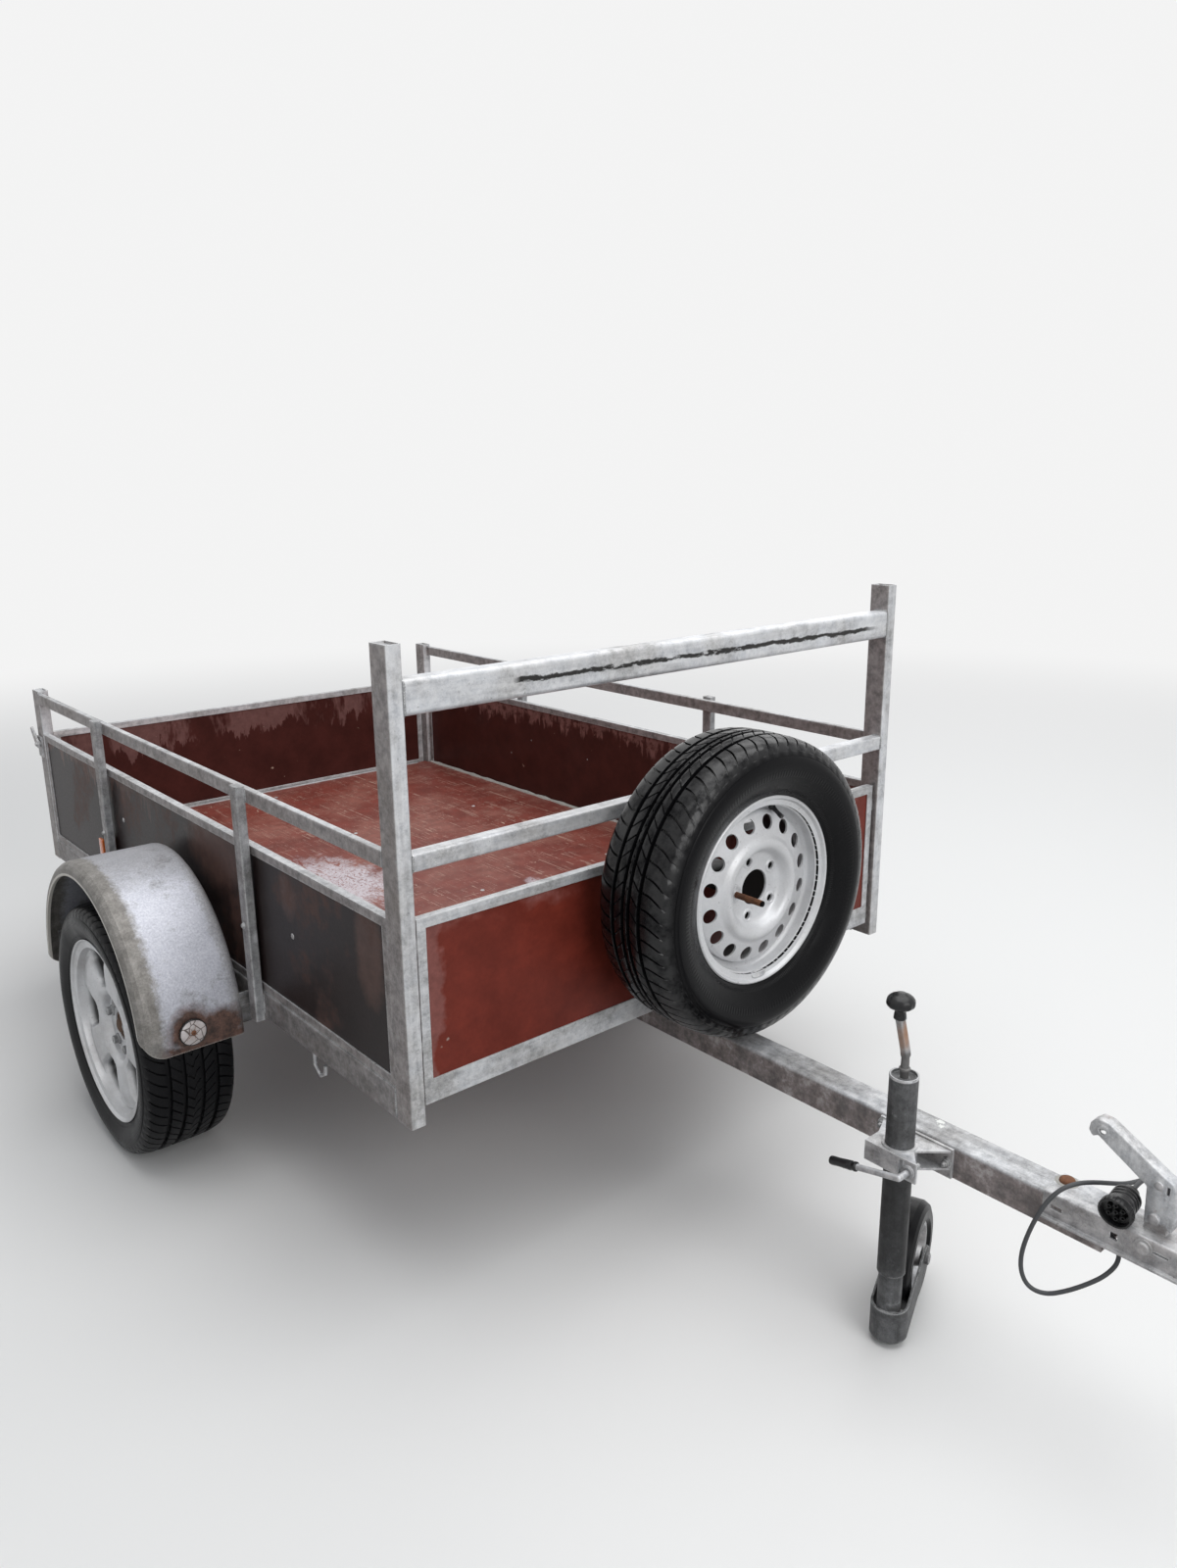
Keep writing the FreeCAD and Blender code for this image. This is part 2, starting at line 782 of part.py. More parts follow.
def make_stays(grown=0.0):
    """Flat stays from the sills that carry the mudguards at both ends, larger by a margin."""
    stays = []
    reach = guard_radius - guard_wall
    rise = stay_z + stay_height / 2 - guard_centre_z
    far = math.sqrt(reach ** 2 - (rise + stay_height / 2) ** 2) - 0.3
    for side in SIDES:
        for end in (-1, 1):
            y = wheel_y + end * far
            stays.append(block(side * half_width, side * (guard_outer_x - 30.0), y,
                               y - end * (stay_thickness + grown), stay_z - grown,
                               stay_z + stay_height + grown))
    return stays


def make_front_reflectors():
    """White round reflectors on the front of the mudguards."""
    shapes = []
    z = guard_centre_z + reflector_rise
    y = wheel_y - guard_radius - 0.1
    for side in SIDES:
        x = side * (guard_inner_x + reflector_inset)
        shapes.append(cylinder(reflector_radius, V(x, y, z), V(x, y - reflector_thickness, z)))
    return shapes


def make_side_reflectors():
    """Amber reflectors on the side boards behind the rear uprights."""
    shapes = []
    start = upright_places[1] + upright_length / 2 + side_reflector_gap
    for side in SIDES:
        face = side * (half_width - board_setback - (channel_thickness - board_thickness) / 2)
        shapes.append(block(face, face + side * side_reflector_depth, start,
                            start + side_reflector_length, side_reflector_foot,
                            side_reflector_foot + side_reflector_height))
    return shapes


def make_spare():
    """The spare's steel rim with its flat ring of vent holes, and its tyre."""
    centre = V(spare_x, spare_y, spare_z)
    axis = V(0, -1, 0)
    up = V(0, 0, 1)
    rim = barrel(centre, axis, spare_seat_radius, spare_flange_radius, spare_rim_width,
                 spare_rim_wall, spare_rim_well)
    face = spare_y - spare_disc_y
    t = spare_disc_wall

    def at(across, out):
        return centre + axis * across + up * out

    shell = spare_seat_radius - spare_rim_well - spare_rim_wall / 2
    ring_in = spare_vent_circle - spare_vent_radius - spare_vent_margin
    ring_out = spare_vent_circle + spare_vent_radius + spare_vent_margin
    hump = face + spare_hump
    dish = [at(face, rim_bore_radius), at(face, 74), at(hump, 90), at(hump, 98), at(face + 3, ring_in),
            at(face + 3, ring_out), at(face - 12, shell), at(face - 12 - t, shell),
            at(face + 3 - t, ring_out - 2), at(face + 3 - t, ring_in - t), at(hump - t, 95),
            at(hump - t, 92), at(face - t, 77), at(face - t, rim_bore_radius)]
    disc = Part.Face(Part.makePolygon(dish + [dish[0]])).revolve(centre, axis, 360)
    cutters = ring_of_holes(centre + axis * face, axis, up, spare_vent_circle, spare_vents,
                            spare_vent_radius, 10.0, 180.0 / spare_vents)
    cutters += ring_of_holes(centre + axis * face, axis, up, pitch_circle / 2, wheel_bolts,
                             bolt_hole_radius, 10.0, 18.0)
    disc = disc.cut(Part.makeCompound(cutters))
    rubber = tyre(centre, axis, spare_tyre_radius, spare_section, spare_tread_width,
                  spare_seat_radius, spare_flange_radius, spare_rim_width)
    return fuse([rim, disc]), rubber


def make_spare_bracket():
    """The bracket behind the spare: an upright strap, a spacer tube, a plate and the threaded rod."""
    seat = spare_disc_y + spare_disc_wall
    strap = block(spare_x - strap_width / 2, spare_x + strap_width / 2, -strap_thickness, 0.0,
                  strap_foot, middle_bar_top)
    spacer = square_tube(spare_x - spacer_width / 2, spare_x + spacer_width / 2,
                         seat + spare_plate_thickness - 1.0, 1.0 - strap_thickness,
                         spare_z - spacer_size / 2, spare_z + spacer_size / 2, "y", 4.0, 4.0)
    plate = Part.makeCylinder(spare_plate_radius, spare_plate_thickness,
                              V(spare_x, seat + spare_plate_thickness, spare_z), V(0, -1, 0))
    spot = FreeCAD.Rotation(V(0, -1, 0), 90.0).multVec(V(0, 0, 1)) * (pitch_circle / 2)
    start = V(spare_x, seat, spare_z) + spot
    rod = cylinder(spare_rod_radius, start, start + V(0, -spare_rod_reach, 0))
    return fuse([strap, spacer, plate, rod])


coupling_half = drawbar_size / 2 + coupling_wall
coupling_top = drawbar_top + coupling_wall
coupling_front = ball_y + head_neck

# Slots in the coupling's side walls. Columns: y, z, half the length, half the height
coupling_slots = ((-834.0, 378.0, 9.0, 3.5), (-923.0, 379.0, 6.0, 6.0), (-990.0, 384.0, 12.0, 1.5))


def make_coupling():
    """The pressed channel over the drawbar, with its flange, slots and the lever's block."""
    inner = drawbar_size / 2
    outer = coupling_half
    channel = rounded(block(-outer, outer, -coupling_rear, coupling_front, coupling_foot, coupling_top),
                      "y", 5.0)
    shapes = [channel, block(-outer, outer, -coupling_rear, coupling_front, coupling_foot,
                             coupling_foot + 8.0)]
    shapes.append(block(-outer - coupling_flange, outer + coupling_flange, -coupling_rear,
                        coupling_front, coupling_foot, coupling_foot + coupling_wall))
    half = lever_block / 2
    # columns: y from the lever's pivot, z from the coupling's top, of the raised block's outline
    outline = ((16.0, -2.0), (12.0, 22.0), (6.0, 34.0), (-8.0, 34.0), (-16.0, 24.0), (-17.0, -2.0))
    shapes.append(prism([V(-half, lever_pivot_y + y, coupling_top + z) for y, z in outline],
                        V(lever_block, 0, 0)))
    reach = half + lever_gap + lever_wall + lever_pivot_head
    pivot = V(0, lever_pivot_y, lever_pivot_z)
    body = fuse(shapes)
    body = body.cut(block(-inner, inner, -coupling_rear + 1, coupling_front - 1, coupling_foot - 1,
                          drawbar_top))
    for y, z, long, tall in coupling_slots:
        body = body.cut(block(-outer - 1, outer + 1, y - long, y + long, z - tall, z + tall))
    heads = [cylinder(lever_pivot_radius - 3.0, pivot - V(reach - 2, 0, 0), pivot + V(reach - 2, 0, 0))]
    for side in SIDES:
        heads.append(cylinder(lever_pivot_radius, pivot + V(side * (reach - lever_pivot_head), 0, 0),
                              pivot + V(side * reach, 0, 0)))
        heads.append(cylinder(side_rivet_radius, V(side * (outer - 1), side_rivet_y, side_rivet_z),
                              V(side * (outer + lever_pivot_head), side_rivet_y, side_rivet_z)))
    return fuse([body] + heads)


def dome(radius, height, foot, steps):
    """Half a profile, with a dome in straight steps above a straight side. Columns: radius, z"""
    points = [(0.0, foot), (radius, foot)]
    for step in range(steps + 1):
        angle = math.pi / 2 * step / steps
        points.append((radius * math.cos(angle), height + radius * math.sin(angle)))
    return points


def turned(profile, x, y):
    """A solid turned about a vertical axis from a profile of radius and height."""
    points = [V(x + out, y, z) for out, z in profile]
    face = Part.Face(Part.makePolygon(points + [points[0]]))
    return face.revolve(V(x, y, 0), V(0, 0, 1), 360)


def make_coupling_head():
    """The domed cup on the coupling's end, open below for the towing ball."""
    outer = coupling_half
    cup = dome(ball_radius + head_wall + 1.4, ball_z, coupling_foot, 6)
    cup = [(head_radius, coupling_foot), (head_radius, ball_z)] + cup[3:] + [(0.0, coupling_foot)]
    rim = [(0.0, coupling_foot), (head_radius + head_lip, coupling_foot),
           (head_radius + head_lip, coupling_foot + coupling_wall), (0.0, coupling_foot + coupling_wall)]
    neck = block(-outer, outer, ball_y, coupling_front, coupling_foot, coupling_top)
    head = fuse([turned(cup, 0, ball_y), turned(rim, 0, ball_y), neck])
    return head.cut(turned(dome(ball_radius, ball_z, coupling_foot - 1, 8), 0, ball_y))


# The lever's outline from the side. Columns: y, z from its pivot
lever_outline = ((109.0, 96.0), (107.0, 109.0), (96.0, 119.0), (80.0, 118.0), (-7.0, 70.0),
                 (-21.0, 64.0), (-26.0, 53.0), (-28.0, 17.0), (-24.0, -14.0), (-12.0, -5.0),
                 (15.0, -14.0), (17.0, 45.0), (81.0, 84.0), (94.0, 92.0), (102.0, 87.0))


def make_lever():
    """The coupling's long pressed lever, a channel that is open below and straddles its block."""
    inside = lever_block / 2 + lever_gap
    half = inside + lever_wall
    pivot = V(0, lever_pivot_y, lever_pivot_z)
    body = prism([pivot + V(-half, y, z) for y, z in lever_outline], V(2 * half, 0, 0))
    # columns: y, z from the pivot of the channel's hollow, one wall inside the lever's back
    hollow = ((118.0, 77.0), (104.0, 107.0), (96.0, 116.0), (81.0, 115.0), (-6.0, 67.0),
              (-19.0, 61.5), (-23.4, 52.0), (-25.4, 17.0), (-21.0, -23.0), (28.0, -23.0))
    lever = body.cut(prism([pivot + V(-inside, y, z) for y, z in hollow], V(2 * inside, 0, 0)))
    reach = V(half + 1, 0, 0)
    lever = lever.cut(cylinder(lever_pivot_radius - 3.0 + 0.2, pivot - reach, pivot + reach))
    eye = pivot + V(0, lever_eye_reach, lever_eye_rise)
    return lever.cut(cylinder(5.0, eye - reach, eye + reach))


clamp_front_x = jack_x - jack_clamp_front
clamp_screw_y = jack_y - jack_handle_setback
clamp_screw_z = jack_clamp_foot + jack_clamp_height / 2


def make_jack_clamp():
    """The folded clamp on the drawbar's side: bolted plate, two flanges, front plate and collar."""
    low = jack_clamp_foot
    high = low + jack_clamp_height
    face = -drawbar_size / 2
    back = face - jack_plate_thickness
    rear_y0 = jack_y + jack_clamp_rear_reach
    fore_y0 = jack_y - jack_clamp_fore_reach
    plate = block(face, back, jack_y + jack_plate_rear_reach, jack_y - jack_plate_fore_reach,
                  jack_plate_foot, jack_plate_foot + jack_plate_height)
    front = block(clamp_front_x, clamp_front_x + jack_clamp_wall, rear_y0, fore_y0, low, high)
    # columns: x, y of the flanges' outline, with a gusset towards the coupling
    outline = ((clamp_front_x, rear_y0), (clamp_front_x, fore_y0), (jack_x, jack_y - 28.0),
               (back + 1.0, jack_y - jack_plate_fore_reach + 3.0),
               (back + 1.0, jack_y + jack_plate_rear_reach - 6.0),
               (jack_x + 6.0, rear_y0))
    flanges = [prism([V(x, y, z) for x, y in outline], V(0, 0, jack_clamp_wall))
               for z in (low, high - jack_clamp_wall)]
    reach = jack_tube_radius + jack_clamp_clearance
    collar = cylinder(reach + jack_collar_wall, V(jack_x, jack_y, low), V(jack_x, jack_y, high + 3.0))
    clamp = fuse([plate, front, collar] + flanges)
    clamp = clamp.cut(cylinder(reach, V(jack_x, jack_y, low - 1), V(jack_x, jack_y, high + 4.0)))
    return clamp.cut(block(clamp_front_x - 1, jack_x, jack_y - reach - jack_collar_wall - 1.0,
                           jack_y - reach + 3.0, low + jack_clamp_wall, high - jack_clamp_wall))


def rod_along(points, radius):
    """A round bar along straight runs with a ball at each bend."""
    shapes = []
    for a, b in zip(points, points[1:]):
        shapes.append(cylinder(radius, a, b))
    for spot in points[1:-1]:
        shapes.append(Part.makeSphere(radius, spot))
    return fuse(shapes)


def make_jack_handle():
    """The clamp's screw with its washer and cranked handle."""
    root = V(clamp_front_x, clamp_screw_y, clamp_screw_z)
    bend = root + V(-jack_handle_stand, 0, 0)
    tip = bend + V(0, jack_handle_span, -jack_handle_drop)
    washer = cylinder(2 * jack_handle_radius, root, root + V(-3.0, 0, 0))
    return fuse([rod_along([root, bend, tip], jack_handle_radius), washer])


def make_clamp_grip():
    """The plastic grip on the end of the clamp's handle."""
    bend = V(clamp_front_x - jack_handle_stand, clamp_screw_y, clamp_screw_z)
    end = bend + V(0, jack_handle_span, -jack_handle_drop)
    along = (end - bend).normalize()
    grip = cylinder(jack_grip_radius, end - along * jack_grip_length, end + along * 3.0)
    return grip.cut(cylinder(jack_handle_radius, end - along * (jack_grip_length + 1), end))


def make_jack_tube():
    """The jack's outer tube with its top cap, in the clamp."""
    top = V(jack_x, jack_y, jack_tube_top)
    tube = pipe(jack_tube_radius, jack_tube_wall, V(jack_x, jack_y, jack_tube_foot), top)
    cap = cylinder(jack_tube_radius - 1, top - V(0, 0, 10), top - V(0, 0, 5))
    bore = cylinder(jack_screw_radius, top - V(0, 0, 20), top + V(0, 0, 1))
    return fuse([tube, cap]).cut(bore)


crank_tip = V(jack_x + crank_lean_x, jack_y + crank_lean_y, jack_tube_top + crank_tip_rise)


def make_jack_crank():
    """The jack's screw and its crank, one bent bar."""
    foot = V(jack_x, jack_y, jack_screw_foot)
    bend = V(jack_x, jack_y, jack_tube_top + crank_rise)
    return rod_along([foot, bend, crank_tip], jack_screw_radius)


def make_jack_knob():
    """The mushroom knob, pushed onto the crank's end."""
    wide = knob_radius
    low = crank_tip + V(0, 0, -2.0)
    # columns: distance from the axis, height above the crank's end
    profile = ((0, 0), (10.5, 0), (9, 14), (wide - 4, 20), (wide, 27), (wide - 2, 35),
               (wide - 10, knob_height - 4), (0, knob_height))
    knob = turned([(out, low.z + up) for out, up in profile], low.x, low.y)
    return knob.cut(make_jack_crank())


def make_jack_nut():
    """The nut on the jack's screw, which carries the inner tube and lets it turn."""
    high = V(jack_x, jack_y, jack_inner_top)
    low = high - V(0, 0, jack_nut_height)
    nut = cylinder(jack_inner_radius - jack_inner_wall - jack_screw_clearance, low, high)
    bore = jack_screw_radius + jack_screw_clearance
    return nut.cut(cylinder(bore, low - V(0, 0, 1), high + V(0, 0, 1)))


def jack_turned(shape):
    """Turn a shape drawn with its trail along +Y to the heading of the jack's wheel."""
    shape.rotate(V(0, 0, 0), V(0, 0, 1), jack_heading - 90.0)
    shape.translate(V(jack_x, jack_y, 0))
    return shape


def make_jack_fork():
    """The jack's inner tube and the strap bent round its foot as a fork, with the wheel's pin."""
    inner = pipe(jack_inner_radius, jack_inner_wall, V(0, 0, jack_foot), V(0, 0, jack_inner_top))
    half = jack_wheel_width / 2 + jack_fork_gap
    outer = half + jack_fork_wall
    bend = half - jack_inner_radius + jack_fork_bite
    axle_z = jack_wheel_radius
    # columns: distance behind the tube's axis, z of the strap's outline from the side
    outline = ((bend, jack_foot), (60, 34), (jack_trail + 20, axle_z - 22),
               (jack_trail + 26, axle_z + 6), (jack_trail + 8, axle_z + 22), (50, 92),
               (bend, jack_fork_front_top))
    strap = prism([V(-outer, y, z) for y, z in outline], V(2 * outer, 0, 0))
    strap = strap.cut(block(-half, half, bend - 1, jack_trail + 60, 0, axle_z + 60))
    round_front = pipe(outer, jack_fork_wall, V(0, bend, jack_foot), V(0, bend, jack_fork_front_top))
    round_front = round_front.cut(block(-outer - 1, outer + 1, bend, bend + outer + 1, 0, axle_z))
    pin = cylinder(jack_axle_radius, V(-outer - 5, jack_trail, axle_z), V(outer + 5, jack_trail, axle_z))
    return jack_turned(fuse([inner, strap, round_front, pin]))


def make_jack_wheel():
    """The jack's small wheel: a steel disc wheel with a rubber tyre."""
    centre = V(0, jack_trail, jack_wheel_radius)
    axis = V(1, 0, 0)
    half = jack_wheel_width / 2

    def at(across, out):
        return centre + axis * across + V(0, 0, 1) * out

    bore = jack_axle_radius + 0.3
    outline = [at(half - 1, bore), at(half - 1, 17), at(5, 22), at(5, 50), at(half - 6, 56),
               at(half - 6, jack_wheel_rim), at(-half + 6, jack_wheel_rim), at(-half + 6, 56),
               at(-5, 50), at(-5, 22), at(-half + 1, 17), at(-half + 1, bore)]
    rim = Part.Face(Part.makePolygon(outline + [outline[0]])).revolve(centre, axis, 360)
    tread = jack_wheel_radius
    side_points = ((half - 6, jack_wheel_rim), (half, jack_wheel_rim + 6), (half, tread - 14),
                   (half - 4, tread - 5), (half - 14, tread))
    points = [at(across, out) for across, out in side_points]
    points += [at(-across, out) for across, out in reversed(side_points)]
    rubber = Part.Face(Part.makePolygon(points + [points[0]])).revolve(centre, axis, 360)
    return jack_turned(rim), jack_turned(rubber)


def make_rear_lamps():
    """Two tail lamps under the rear sill."""
    lamps = []
    back = body_length - lamp_inset
    for side in SIDES:
        lamps.append(rounded(block(side * lamp_outer, side * lamp_inner, back - lamp_depth, back,
                                   post_foot - lamp_height, post_foot), "y", lamp_corner))
    return lamps


def make_hooks():
    """Round-bar rope hooks under the sills."""
    hooks = []
    low = post_foot - hook_drop
    for side in SIDES:
        x = side * (half_width - hook_inset)
        for y in (hook_setback, body_length - hook_setback):
            # columns: y from the hook's middle, z
            route = ((hook_half, post_foot), (hook_half, low + hook_bend), (0, low),
                     (2 - hook_half, low + hook_bend - 4), (-hook_half, low + hook_rise))
            hooks.append(rod_along([V(x, y + along, z) for along, z in route], hook_radius))
    return hooks


def make_latches():
    """A lever latch on each rear corner that holds the tailgate shut."""
    latches = []
    middle = rear_y + post_depth - latch_setback
    low = latch_plate_thickness + 3.0
    for side in SIDES:
        x = side * half_width
        plate = block(x, x + side * latch_plate_thickness, middle - latch_plate_half,
                      middle + latch_plate_half, latch_plate_foot, latch_plate_top)
        boss = cylinder(latch_boss_radius, V(x + side * 2, middle, latch_pivot_z),
                        V(x + side * (low + latch_lever_thickness), middle, latch_pivot_z))
        # columns: y from the pivot, z from the pivot
        outline = ((-10, -10), (10, -6), (latch_lever_reach, 40), (latch_lever_reach - 8, 46), (-8, 10))
        lever = prism([V(x + side * low, middle + y, latch_pivot_z + z) for y, z in outline],
                      V(side * latch_lever_thickness, 0, 0))
        latches.append(fuse([plate, boss, lever]))
    return latches


# The lead's route, from the drawbar's inner wall out of its mouth, down in a loop and up to the plug.
# Columns: x, y, z
lead_route = ((26.0, -885.0, 366.0), (4.0, -885.0, 366.0), (-8.0, -904.0, 364.0),
              (-10.0, -923.0, 351.0), (-19.0, -930.0, 330.0), (-34.0, -919.0, 308.0),
              (-48.0, -899.0, 288.0),
              (-60.0, -875.0, 268.0), (-71.0, -850.0, 253.0), (-80.0, -827.0, 256.0),
              (-84.0, -814.0, 277.0), (-84.0, -811.0, 307.0), (-80.0, -815.0, 340.0),
              (-71.0, -822.0, 373.0), (-59.0, -831.0, 402.0), (-42.0, -842.0, 421.0),
              (-20.0, -857.0, 429.0), (4.0, -872.0, 427.0), (28.0, -885.0, 421.0),
              (51.0, -896.0, 415.0), (71.0, -908.0, 417.0), (83.0, -923.0, 428.0),
              (77.0, -935.0, 440.0), (58.0, -930.0, 444.0), (36.6, -921.3, 437.1),
              (15.0, -922.4, 433.6))
plug_way = (-0.985, -0.05, -0.16)


def bent_tube(route, radius):
    """A tube along straight runs joined by tangent arcs."""
    points = [V(*spot) for spot in route]
    edges = []
    last = points[0]
    radii = []
    for before, corner, after in zip(points, points[1:], points[2:]):
        back = before - corner
        ahead = after - corner
        run = min(back.Length, ahead.Length)
        back.normalize()
        ahead.normalize()
        turn = math.pi - math.acos(max(-1.0, min(1.0, back.dot(ahead))))
        setback = 0.45 * run
        bend = setback / math.tan(turn / 2)
        radii.append(bend)
        start = corner + back * setback
        end = corner + ahead * setback
        middle_way = (back + ahead).normalize()
        centre = corner + middle_way * (bend / math.cos(turn / 2))
        middle = centre - middle_way * bend
        edges.append(Part.LineSegment(last, start).toShape())
        edges.append(Part.Arc(start, middle, end).toShape())
        last = end
    edges.append(Part.LineSegment(last, points[-1]).toShape())
    path = Part.Wire(edges)
    ring = Part.Wire(Part.makeCircle(radius, points[0], points[1] - points[0]))
    tube = path.makePipeShell([ring], True, True)
    ideal = math.pi * radius ** 2 * path.Length
    print("lead length", round(path.Length, 1), "tightest bend", round(min(radii), 1),
          "volume over ideal", round(tube.Volume / ideal, 4))
    return tube


def make_plug():
    """The lead's round plug, lying across the coupling with its pins to the right side."""
    back = V(*lead_route[-1])
    along = V(*plug_way).normalize()
    shell = cylinder(plug_radius, back + along * (plug_collar - 2), back + along * (plug_length - 2))
    ring = cylinder(plug_ring_radius, back + along * (plug_length - plug_ring_length),
                    back + along * plug_length)
    ring = ring.cut(cylinder(plug_radius - 3.0, back + along * (plug_length - 9.0),
                             back + along * (plug_length + 1.0)))
    shell = shell.cut(cylinder(plug_radius - 3.0, back + along * (plug_length - 9.0),
                               back + along * (plug_length + 1.0)))
    collar = cylinder(plug_collar_radius, back, back + along * plug_collar)
    return fuse([shell, ring, collar])


def collect():
    """Every node's solids by name."""
    nodes = {}
    nodes["corner_posts"] = make_posts()
    nodes["side_sills"] = make_sills()
    nodes["cross_members"] = make_cross_members()
    nodes["rear_sill"] = [make_rear_sill()]
    nodes["side_uprights"] = make_uprights()
    nodes["rack_rails"] = make_rack_rails()
    nodes["side_board_frames"], nodes["side_boards"] = make_side_boards()
    front_frame, front_board = make_front_panel()
    nodes["front_board_frame"] = [front_frame]
    nodes["front_board"] = [front_board]
    nodes["front_bars"] = make_front_bars()
    nodes["floor_board"] = [make_floor()]
    gate_frame, gate_board = make_tailgate()
    nodes["tailgate_frame"] = [gate_frame]
    nodes["tailgate_board"] = [gate_board]
    nodes["tailgate_latches"] = make_latches()
    nodes["drawbar"] = [make_drawbar()]
    nodes["axle"] = [make_axle()]
    nodes["mudguard_stays"] = make_stays()
    nodes["front_reflectors"] = make_front_reflectors()
    nodes["side_reflectors"] = make_side_reflectors()
    # columns: name, side
    for name, side in (("left", 1), ("right", -1)):
        centre = V(side * wheel_centre_x, wheel_y, wheel_z)
        nodes["mudguard_" + name] = [make_guard(side)]
        nodes["hub_" + name] = [make_hub(side)]
        nodes["wheel_rim_" + name] = [make_road_rim(side)]
        nodes["tyre_" + name] = [tyre(centre, V(side, 0, 0), tyre_radius, tyre_section, tread_width,
                                      rim_seat_radius, rim_flange_radius, rim_width)]
    spare_rim, spare_tyre = make_spare()
    nodes["spare_rim"] = [spare_rim]
    nodes["spare_tyre"] = [spare_tyre]
    nodes["spare_bracket"] = [make_spare_bracket()]
    nodes["coupling_body"] = [make_coupling()]
    nodes["coupling_head"] = [make_coupling_head()]
    nodes["coupling_lever"] = [make_lever()]
    nodes["jack_clamp"] = [make_jack_clamp()]
    nodes["jack_clamp_handle"] = [make_jack_handle()]
    nodes["jack_clamp_grip"] = [make_clamp_grip()]
    nodes["jack_tube"] = [make_jack_tube()]
    nodes["jack_crank"] = [make_jack_crank()]
    nodes["jack_knob"] = [make_jack_knob()]
    nodes["jack_nut"] = [make_jack_nut()]
    nodes["jack_fork"] = [make_jack_fork()]
    jack_rim, jack_tyre = make_jack_wheel()
    nodes["jack_wheel_rim"] = [jack_rim]
    nodes["jack_tyre"] = [jack_tyre]
    nodes["tail_lamps"] = make_rear_lamps()
    nodes["rope_hooks"] = make_hooks()
    nodes["plug"] = [make_plug()]
    nodes["lead"] = [bent_tube(lead_route, lead_radius)]
    return nodes


def main():
    os.makedirs("parts", exist_ok=True)
    nodes = collect()
    nose = ball_y - head_radius - head_lip
    tail = body_length + hinge_behind_posts + hinge_eye_radius
    shift = V(0, -(nose + tail) / 2, 0)
    print("shift along Y", shift.y)
    for name, solids in nodes.items():
        shape = solids[0] if len(solids) == 1 else Part.makeCompound(solids)
        shape.translate(shift)
        if not shape.isValid():
            print("not valid", name)
        shape.exportStep("parts/" + name + ".step")


main()
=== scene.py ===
import math
import random

import bmesh
import bpy
from mathutils import Matrix, Vector


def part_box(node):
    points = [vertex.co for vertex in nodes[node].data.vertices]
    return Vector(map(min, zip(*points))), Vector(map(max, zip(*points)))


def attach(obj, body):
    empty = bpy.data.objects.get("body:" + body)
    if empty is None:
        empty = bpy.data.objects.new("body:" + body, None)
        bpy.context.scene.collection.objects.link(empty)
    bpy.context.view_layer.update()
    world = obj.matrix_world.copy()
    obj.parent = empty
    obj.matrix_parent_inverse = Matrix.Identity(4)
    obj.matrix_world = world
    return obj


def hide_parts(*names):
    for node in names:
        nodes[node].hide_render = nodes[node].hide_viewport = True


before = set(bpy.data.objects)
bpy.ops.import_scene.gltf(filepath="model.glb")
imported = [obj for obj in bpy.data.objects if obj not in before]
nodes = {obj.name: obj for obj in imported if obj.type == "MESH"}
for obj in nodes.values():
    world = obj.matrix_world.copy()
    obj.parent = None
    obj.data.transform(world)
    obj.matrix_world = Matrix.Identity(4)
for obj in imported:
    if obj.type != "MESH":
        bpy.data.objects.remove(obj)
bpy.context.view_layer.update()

# Drawing frame: millimetres with y = 0 at the front face of the front posts.
# The row frame is in metres and moved along Y by this much.
SHIFT_Y = -451.5
SIDES = (1, -1)
ROUND = 2 * math.pi


def at(x, y, z):
    """A point of the drawing frame in the row frame."""
    return Vector((x / 1000, (y + SHIFT_Y) / 1000, z / 1000))


def opaque(color):
    """A shader's colour from red, green and blue, or from one grey number."""
    return (*color, 1.0) if hasattr(color, "__len__") else (color, color, color, 1.0)


def dim(color, share):
    """A colour darkened to a share of itself."""
    return tuple(part * share for part in color)


def polar(radius, angle, *rest):
    """A point at a distance and angle, with any further coordinates after it."""
    return (radius * math.cos(angle), radius * math.sin(angle), *rest)


def add_object(name, data):
    piece = bpy.data.objects.new(name, data)
    bpy.context.scene.collection.objects.link(piece)
    return piece


# Camera at the photograph's place
CAMERA_PLACE = (-1561.6, -1537.7, 1476.5)
CAMERA_YAW = 0.704
CAMERA_PITCH = -0.266
CAMERA_ROLL = -0.011
FOCAL_PIXELS = 1172.2
PHOTO_HEIGHT = 1600
SENSOR = 36.0


def make_camera():
    data = bpy.data.cameras.new("photo_camera")
    data.sensor_width = SENSOR
    data.lens = FOCAL_PIXELS * SENSOR / PHOTO_HEIGHT
    data.clip_start = 0.05
    data.clip_end = 200
    camera = add_object("photo_camera", data)
    forward = Vector((math.sin(CAMERA_YAW) * math.cos(CAMERA_PITCH),
                      math.cos(CAMERA_YAW) * math.cos(CAMERA_PITCH), math.sin(CAMERA_PITCH)))
    level = Vector((math.cos(CAMERA_YAW), -math.sin(CAMERA_YAW), 0))
    upward = level.cross(forward)
    right = level * math.cos(CAMERA_ROLL) + upward * math.sin(CAMERA_ROLL)
    top = upward * math.cos(CAMERA_ROLL) - level * math.sin(CAMERA_ROLL)
    turn = Matrix((right, top, -forward)).transposed()
    camera.matrix_world = Matrix.Translation(at(*CAMERA_PLACE)) @ turn.to_4x4()
    bpy.context.scene.camera = camera


# Shine of film-faced boards, and the metres over which the painted shade inside a wheel fades round its
# unshaded middle
FILM_SHINE = 0.17
INNER_SHADE_EDGE = 0.006


